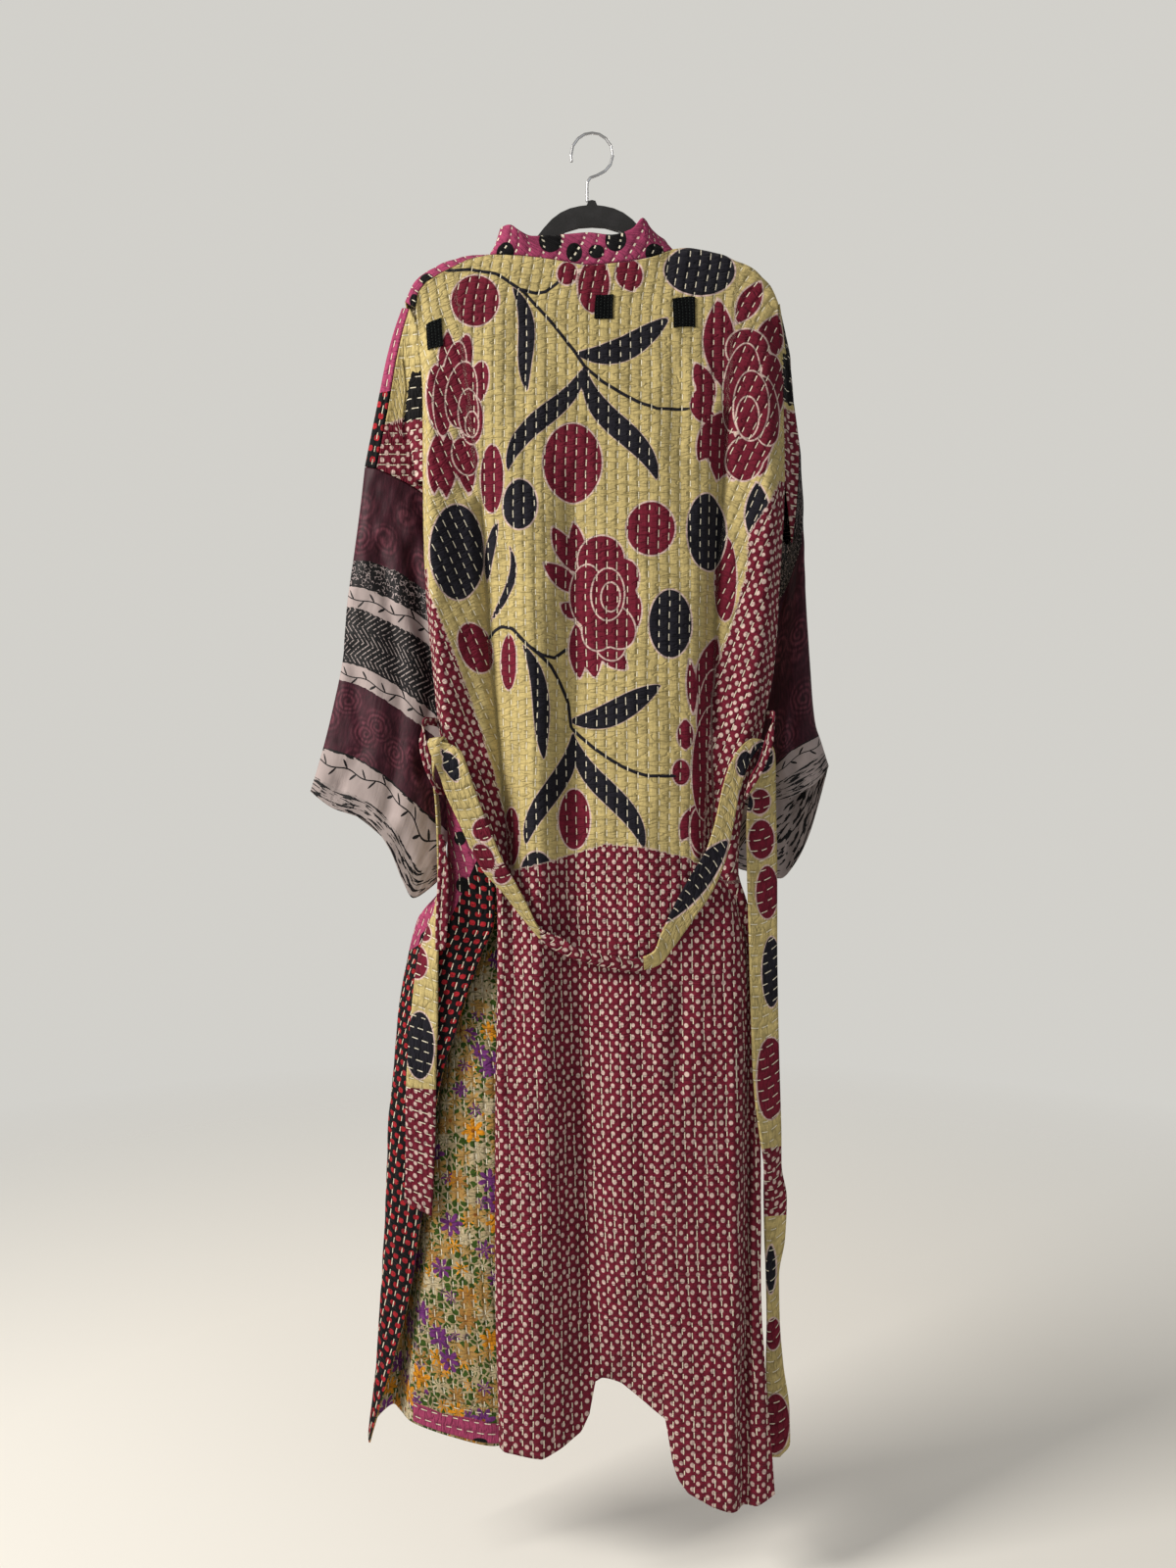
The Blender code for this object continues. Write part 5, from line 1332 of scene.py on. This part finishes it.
# Belt: long doubled tie of the khaki print, through both side loops, sagging across the back in the
# middle and hanging at both sides; folded and twisted where it turns.
BELT_CLOTH = 2.4
BELT = (
    (-215, 2, -1222, -183, -3, -1236),
    (-213, 1, -1180, -180, -6, -1184),
    (-213, 1, -1120, -178, -8, -1124),
    (-211, 0, -1060, -177, -10, -1064),
    (-206, 1, -1000, -175, -11, -1003),
    (-201, 5, -952, -175, -12, -952),
    (-192, 12, -916, -174, -13, -912),
    (-181, 17, -884, -173.5, -14, -880),
    (-176, 20, -846, -174, -13, -846),
    (-176, 18, -800, -175, -13, -800),
    (-178, 16, -762, -177, -13, -762),
    (-183, 13, -734, -180, -13, -734),
    (-183.5, 8, -712, -175, -17, -712),
    (-183, -2, -699, -162.3, -18.6, -699),
    (-185, -5, -692, -166.5, -24, -690.5),
    (-187, -8.5, -699, -169.5, -28, -696),
    (-184, -17, -705, -158, -29.5, -699),
    (-178, -25, -716, -147, -31, -706),
    (-171, -27, -733, -135, -31, -738),
    (-164, -28, -754, -126, -31, -764),
    (-150, -29, -784, -113, -32, -796),
    (-137, -30, -812, -100, -33, -828),
    (-122, -31, -840, -86, -34, -852),
    (-100, -32, -864, -73, -35, -876),
    (-78, -33, -892, -56, -36, -906),
    (-50, -34, -923, -34, -36, -914),
    (-20, -34, -938, -17, -38, -926),
    (10, -33, -946, 12, -38, -932),
    (42, -33, -952, 42, -38, -938),
    (72, -32, -946, 68, -38, -930),
    (92, -31, -924, 78, -36, -908),
    (112, -30, -896, 92, -34, -878),
    (135, -30, -862, 112, -33, -842),
    (150, -29, -826, 128, -32, -816),
    (158, -28, -790, 138, -31, -784),
    (165, -27, -754, 146, -30, -748),
    (172, -26, -730, 156, -29, -718),
    (183, -26, -708, 168, -30, -700),
    (194, -22.5, -697, 180, -26.5, -692),
    (203, -15, -699, 190, -21, -694),
    (208, -9, -713, 190, -18.5, -707),
    (209, -5, -744, 182, -17, -738),
    (210, -4, -790, 175, -15, -790),
    (211, -4, -850, 176, -14, -850),
    (211, -4, -920, 178, -13, -920),
    (212, -4, -1000, 180, -13, -1000),
    (214, -4, -1080, 183, -13, -1080),
    (216, -1, -1140, 190, -12, -1140),
    (217, 4, -1180, 196, -8, -1180),
    (224, 8, -1220, 197, 2, -1220),
    (222, 8, -1265, 198, 3, -1265),
    (215, 9, -1310, 200, 4, -1310),
    (216, 9, -1360, 201, 5, -1360),
    (220, 8, -1410, 200, 6, -1410),
    (227, 8, -1460, 201, 6, -1460),
    (228, 8, -1500, 203, 6, -1506),
    (216, 8, -1517, 207, 6, -1516),
)

BELT_MAROON = (
    (-200, -948, 18, 13), (-192, -915, 9, 9), (-121, -794, 13, 12, 20), (-121, -825, 11, 16, 60),
    (-99, -843, 12, 9, 30), (190, -763, 14, 12, 10), (192, -806, 22, 15), (199, -866, 30, 13),
    (203, -1078, 46, 16, 0, 0.4), (211, -1478, 34, 16), (208, -1375, 18, 9),
)
BELT_NAVY = (
    (-196, -1041, 38, 17), (-192, -890, 9, 9), (-158, -721, 9, 17, 70, 0.8, 3),
    (-166, -709, 2, 12, 60, 0.8, 5), (112, -853, 62, 16, 40, 0.8), (191, -713, 17, 14),
    (170, -720, 14, 8, 10), (173, -762, 13, 8, -30, 0.7), (204, -957, 40, 11),
    (205, -1300, 28, 6, 0, 0.6),
)


def belt_colour(tree, place):
    """Khaki with maroon and navy shapes, dotted near the ends."""
    colour = printed(tree, KHAKI, "maroon", MAROON)
    colour = printed(tree, colour, "navy", NAVY)
    return mix(tree, is_less(tree, field(tree, "dotted"), 0.0), colour, dotted_maroon(tree, place))


belt = np.array(BELT, float)
across = np.linspace(0, 1, 5)[None, :, None]
belt = finer(belt[:, None, :3] * (1 - across) + belt[:, None, 3:] * across, STEP)
belt_x, belt_z = belt[..., 0], belt[..., 2]
# Dotted cloth on the belt, less than 0 there: the left end, a stretch of the right end, the middle.
right_dots = np.where(belt_z < -1240, 10, np.abs(belt_z + 1205) - 48)
right_dots = np.where((belt_x > 100) & (belt_z > -1140), 10, right_dots)
belt_dots = np.where(belt_x < -100, belt_z + 1090, right_dots)
belt_dots = np.where((np.abs(belt_x) < 60) & (belt_z < -900), -1, belt_dots)
belt_place = laid_flat(belt, 0)
belt_fields = {
    "maroon": from_shapes(belt_x, belt_z, BELT_MAROON),
    "navy": from_shapes(belt_x, belt_z, BELT_NAVY),
    "dotted": belt_dots,
}
belt_piece = sheet("tie_belt", belt, belt_place, BELT_CLOTH, belt_fields)
belt_look = stitched_look("khaki_printed_belt_cotton", belt_colour, across=True)
finish_piece(belt_piece, belt_look, "belt")

# Belt loops and side tie: narrow folded strips of dotted maroon cotton, their ends sewn into the side
# seams. The belt runs through the two loops; the tie hangs free.
LOOP_WIDTH = 9.0
LOOPS = {
    "left_belt_loop": ((-177.2, 0.5, -673), (-181, -8, -672), (-186, -22, -672), (-189, -32, -678),
                       (-188, -36, -698), (-183, -36, -722), (-179, -31, -738), (-172, -18, -750),
                       (-160, -2.4, -752)),
    "right_belt_loop": ((199.6, -2, -664), (204, -10, -664), (205, -22, -666), (203, -31, -674),
                        (198, -35, -692), (190, -35, -718), (180, -33, -738), (174, -25, -752),
                        (173, -13, -758)),
}
TIE = ((-170.9, -14.2, -800, 2.5), (-168.8, -16.4, -820, 4), (-168, -18, -845, 6), (-169, -19, -880, 6.5),
       (-170, -20, -910, 6.5), (-171, -20, -930, 5.5))


strip_look = stitched_look("maroon_strip_cotton", dotted_maroon)
strips = {}
for name, line in LOOPS.items():
    line = np.array(line, float)
    run = np.gradient(line, axis=0)
    # The strip's width lies square to its run, and upright where it turns round the belt.
    out = np.stack([-run[:, 2], 0 * run[:, 1], run[:, 0]], 1)
    out[np.abs(run[:, 1]) > 6] = (0, 0, 1)
    out /= np.linalg.norm(out, axis=1)[:, None]
    out *= np.sign((out * out[:1]).sum(1) + 1e-6)[:, None]
    strips[name] = np.stack([line - out * LOOP_WIDTH / 2, line, line + out * LOOP_WIDTH / 2], 1)
tie = np.array(TIE, float)
half = tie[:, 3:] * (1, 0, 0)
strips["side_tie"] = np.stack([tie[:, :3] - half, tie[:, :3], tie[:, :3] + half], 1)
for name, strip in strips.items():
    strip = finer(strip, 2.5)
    piece = sheet(name + "_cloth", strip, laid_flat(strip, 0), CLOTH)
    finish_piece(piece, strip_look, name)

# Patches: small squares of black cloth hand sewn over worn places, and the pink hem strip on the
# left front's inner face. Each lies on its panel, from the panel's own points moved out.
HEM_SPOTS = (
    (-200, -1484, 5, 9), (-172, -1490, 5, 9, 10), (-128, -1494, 5, 9),
)
PATCH_CLOTH = 1.2


patch_look, tree, shader = new_look("black_patch_cotton", Roughness=0.95, Specular_IOR_Level=0.1)
place = node(tree, "UVMap", uv_map="cloth")
fuzz = node(tree, "TexNoise", {"Vector": place, "Scale": 500.0, "Detail": 3.0})
fuzzy_black = mix(tree, soft_step(tree, fuzz, 0.55, 0.75), dye(6, 7, 9), dye(22, 27, 27))
worn = place_group(tree, worn_cotton, Place=place, Colour=fuzzy_black)
sewn = place_group(tree, hand_stitch, Place=place, Line_gap=0.004, Stitch=0.0035, Share=0.3,
                   Thread_width=0.0007)
grey_thread = mix(tree, times(tree, sewn["Thread"], 0.22), worn["Colour"], dye(110, 122, 116))
tree.links.new(grey_thread, shader["Base Color"])
raised(tree, shader, sewn["Relief"], 0.6, 0.0012)


def hem_colour(tree, place):
    """Pink spotted strip below, and above it the flowered cloth it is felled down to."""
    share = soft_step(tree, field(tree, "hem"), -0.4, 0.4)
    return mix(tree, share, flower_colour(tree, place), pink_colour(tree, place))


hem_look = stitched_look("pink_hem_cotton", hem_colour, across=True)

# Each patch: its panel, and from which to which row and column of the panel's sections it reaches.
for name, panel, look, rows, cols in (
    ("patch_neck", "back_panel", patch_look, (4.4, 5.64), (12.77, 13.54)),
    ("patch_right_shoulder", "back_panel", patch_look, (5.14, 6.27), (16.8, 18.4)),
    ("patch_left_armhole", "back_panel", patch_look, (5.32, 6.53), (2.4, 4.9)),
    ("patch_left_sleeve", "left_upper_sleeve_back", sleeve_look, (1.4, 3.3), (1.0, 3.0)),
    ("left_front_hem_facing", "left_front", hem_look, (34.9, 35.9), (8.1, 10.4)),
):
    under = panels[panel]
    # The finer panel has more rows and columns, so the patch's reach is found by the nearest points.
    reach = []
    for axis, ends in ((0, rows), (1, cols)):
        known = np.moveaxis(cut[panel], axis, 0)[:, 0]
        found = np.moveaxis(under, axis, 0)[:, 0]
        match = [np.linalg.norm(found - point, axis=1).argmin() for point in known]
        reach.append(np.linspace(*np.interp(ends, np.arange(len(known)), match), 36))
    for axis, at in enumerate(reach):
        low = at.astype(int)
        part = (at - low)[:, None, None]
        found = np.moveaxis(under, axis, 0)
        under = np.moveaxis(found[low] * (1 - part) + found[low + 1] * part, 0, axis)
    out = np.cross(np.gradient(under, axis=0), np.gradient(under, axis=1))
    out *= np.where(out[..., 1:2] > 0, -1, 1) / np.linalg.norm(out, axis=2, keepdims=True)
    patch = under + out * ((CLOTH + PATCH_CLOTH) / 2 + SEAM_GAP)
    place = laid_flat(patch, 0)
    fields = sleeve_fields(patch)
    fields["strewn"] = np.ones(patch.shape[:2])
    fields["hem"] = place[..., 1] - 15 + 1.5 * np.sin(place[..., 0] / 9)
    if name == "left_front_hem_facing":
        fields["spot"] = from_shapes(patch[..., 0], patch[..., 2], HEM_SPOTS)
    piece = sheet(name + "_cloth", patch, place, PATCH_CLOTH, fields)
    finish_piece(piece, look, name)

# Hanger: a thin moulded body covered in black flock, and a bright bent wire hook set into its top.
# Both are the part's own solids, given their finish here.
flock, tree, shader = new_look("black_flock", Roughness=1.0, Sheen_Weight=0.35)
where = node(tree, "TexCoord", out=3)
fuzz = node(tree, "TexNoise", {"Vector": where, "Scale": 2600.0, "Detail": 2.0})
rubbed = node(tree, "TexNoise", {"Vector": where, "Scale": 60.0, "Detail": 3.0})
worn_black = mix(tree, soft_step(tree, rubbed, 0.45, 0.8), dye(12, 12, 14), dye(34, 33, 36))
tree.links.new(worn_black, shader["Base Color"])
raised(tree, shader, fuzz, 0.5, 0.0006)
wire, tree, shader = new_look("bright_hook_wire", Metallic=1.0)
where = node(tree, "TexCoord", out=3)
drawn = node(tree, "VectorMath", {0: where, 1: (6.0, 6.0, 0.5)}, operation="MULTIPLY")
lines = node(tree, "TexNoise", {"Vector": drawn, "Scale": 900.0, "Detail": 2.0})
tree.links.new(soft_step(tree, lines, -0.6, 2.6), shader["Roughness"])
tree.links.new(mix(tree, lines, dye(176, 176, 178), dye(214, 214, 216)), shader["Base Color"])
for name, look in (("hanger_body", flock), ("hanger_hook", wire)):
    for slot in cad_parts[name].material_slots:
        slot.material = look

# Stage: a plain pale floor under the hanging coat, which fades out far off, and soft light: a key from
# the upper left, a weak fill, one from behind and the pale room round them.
bpy.ops.mesh.primitive_plane_add(size=60, location=(0, 0, -1.66))
floor = bpy.context.object
floor.name = "floor"
pale, tree, shader = new_look("pale_floor", Base_Color=dye(228, 225, 219), Roughness=0.9)
far = node(tree, "VectorMath", {0: node(tree, "TexCoord", out=3)}, out=1, operation="LENGTH")
tree.links.new(soft_step(tree, far, 2.6, 0.9), shader["Alpha"])
floor.data.materials.append(pale)

world = bpy.data.worlds.new("room")
bpy.context.scene.world = world
world.use_nodes = True
tree = world.node_tree
seen_directly = node(tree, "LightPath")
tree.nodes["Background"].inputs["Color"].default_value = dye(232, 230, 224)
strength = number(tree, "MULTIPLY_ADD", seen_directly, 0.44, 0.36)
tree.links.new(strength, tree.nodes["Background"].inputs["Strength"])
for name, place_m, size, watts, tint in (
    ("key_light", (-2.4, -1.15, 0.7), 1.0, 118.0, (255, 250, 242)),
    ("fill_light", (1.9, -2.2, -0.2), 1.8, 8.0, (244, 248, 255)),
    ("back_light", (0.6, 2.2, 0.9), 1.8, 26.0, (255, 252, 248)),
):
    lamp = bpy.data.lights.new(name, "AREA")
    lamp.size = size
    lamp.energy = watts
    lamp.color = dye(*tint)[:3]
    lamp_object = bpy.data.objects.new(name, lamp)
    lamp_object.location = place_m
    aim = mathutils.Vector((0, 0, -0.7)) - lamp_object.location
    lamp_object.rotation_euler = aim.to_track_quat("-Z", "Y").to_euler()
    bpy.context.scene.collection.objects.link(lamp_object)

# Camera: where the photograph was taken from, level, at about the height of the coat's waist. The
# lens gives the photograph's upright frame.
PICTURE_HEIGHT_PX = 1600
FOCAL_LENGTH_PX = 1195
camera = bpy.data.cameras.new("camera")
camera.sensor_width = 36.0
camera.lens = camera.sensor_width * FOCAL_LENGTH_PX / PICTURE_HEIGHT_PX
camera_object = bpy.data.objects.new("camera", camera)
camera_object.location = (-0.0045, -1.34, -0.743)
camera_object.rotation_euler = (np.pi / 2, 0, 0)
bpy.context.scene.collection.objects.link(camera_object)
bpy.context.scene.camera = camera_object
bpy.context.scene.view_settings.view_transform = "Standard"
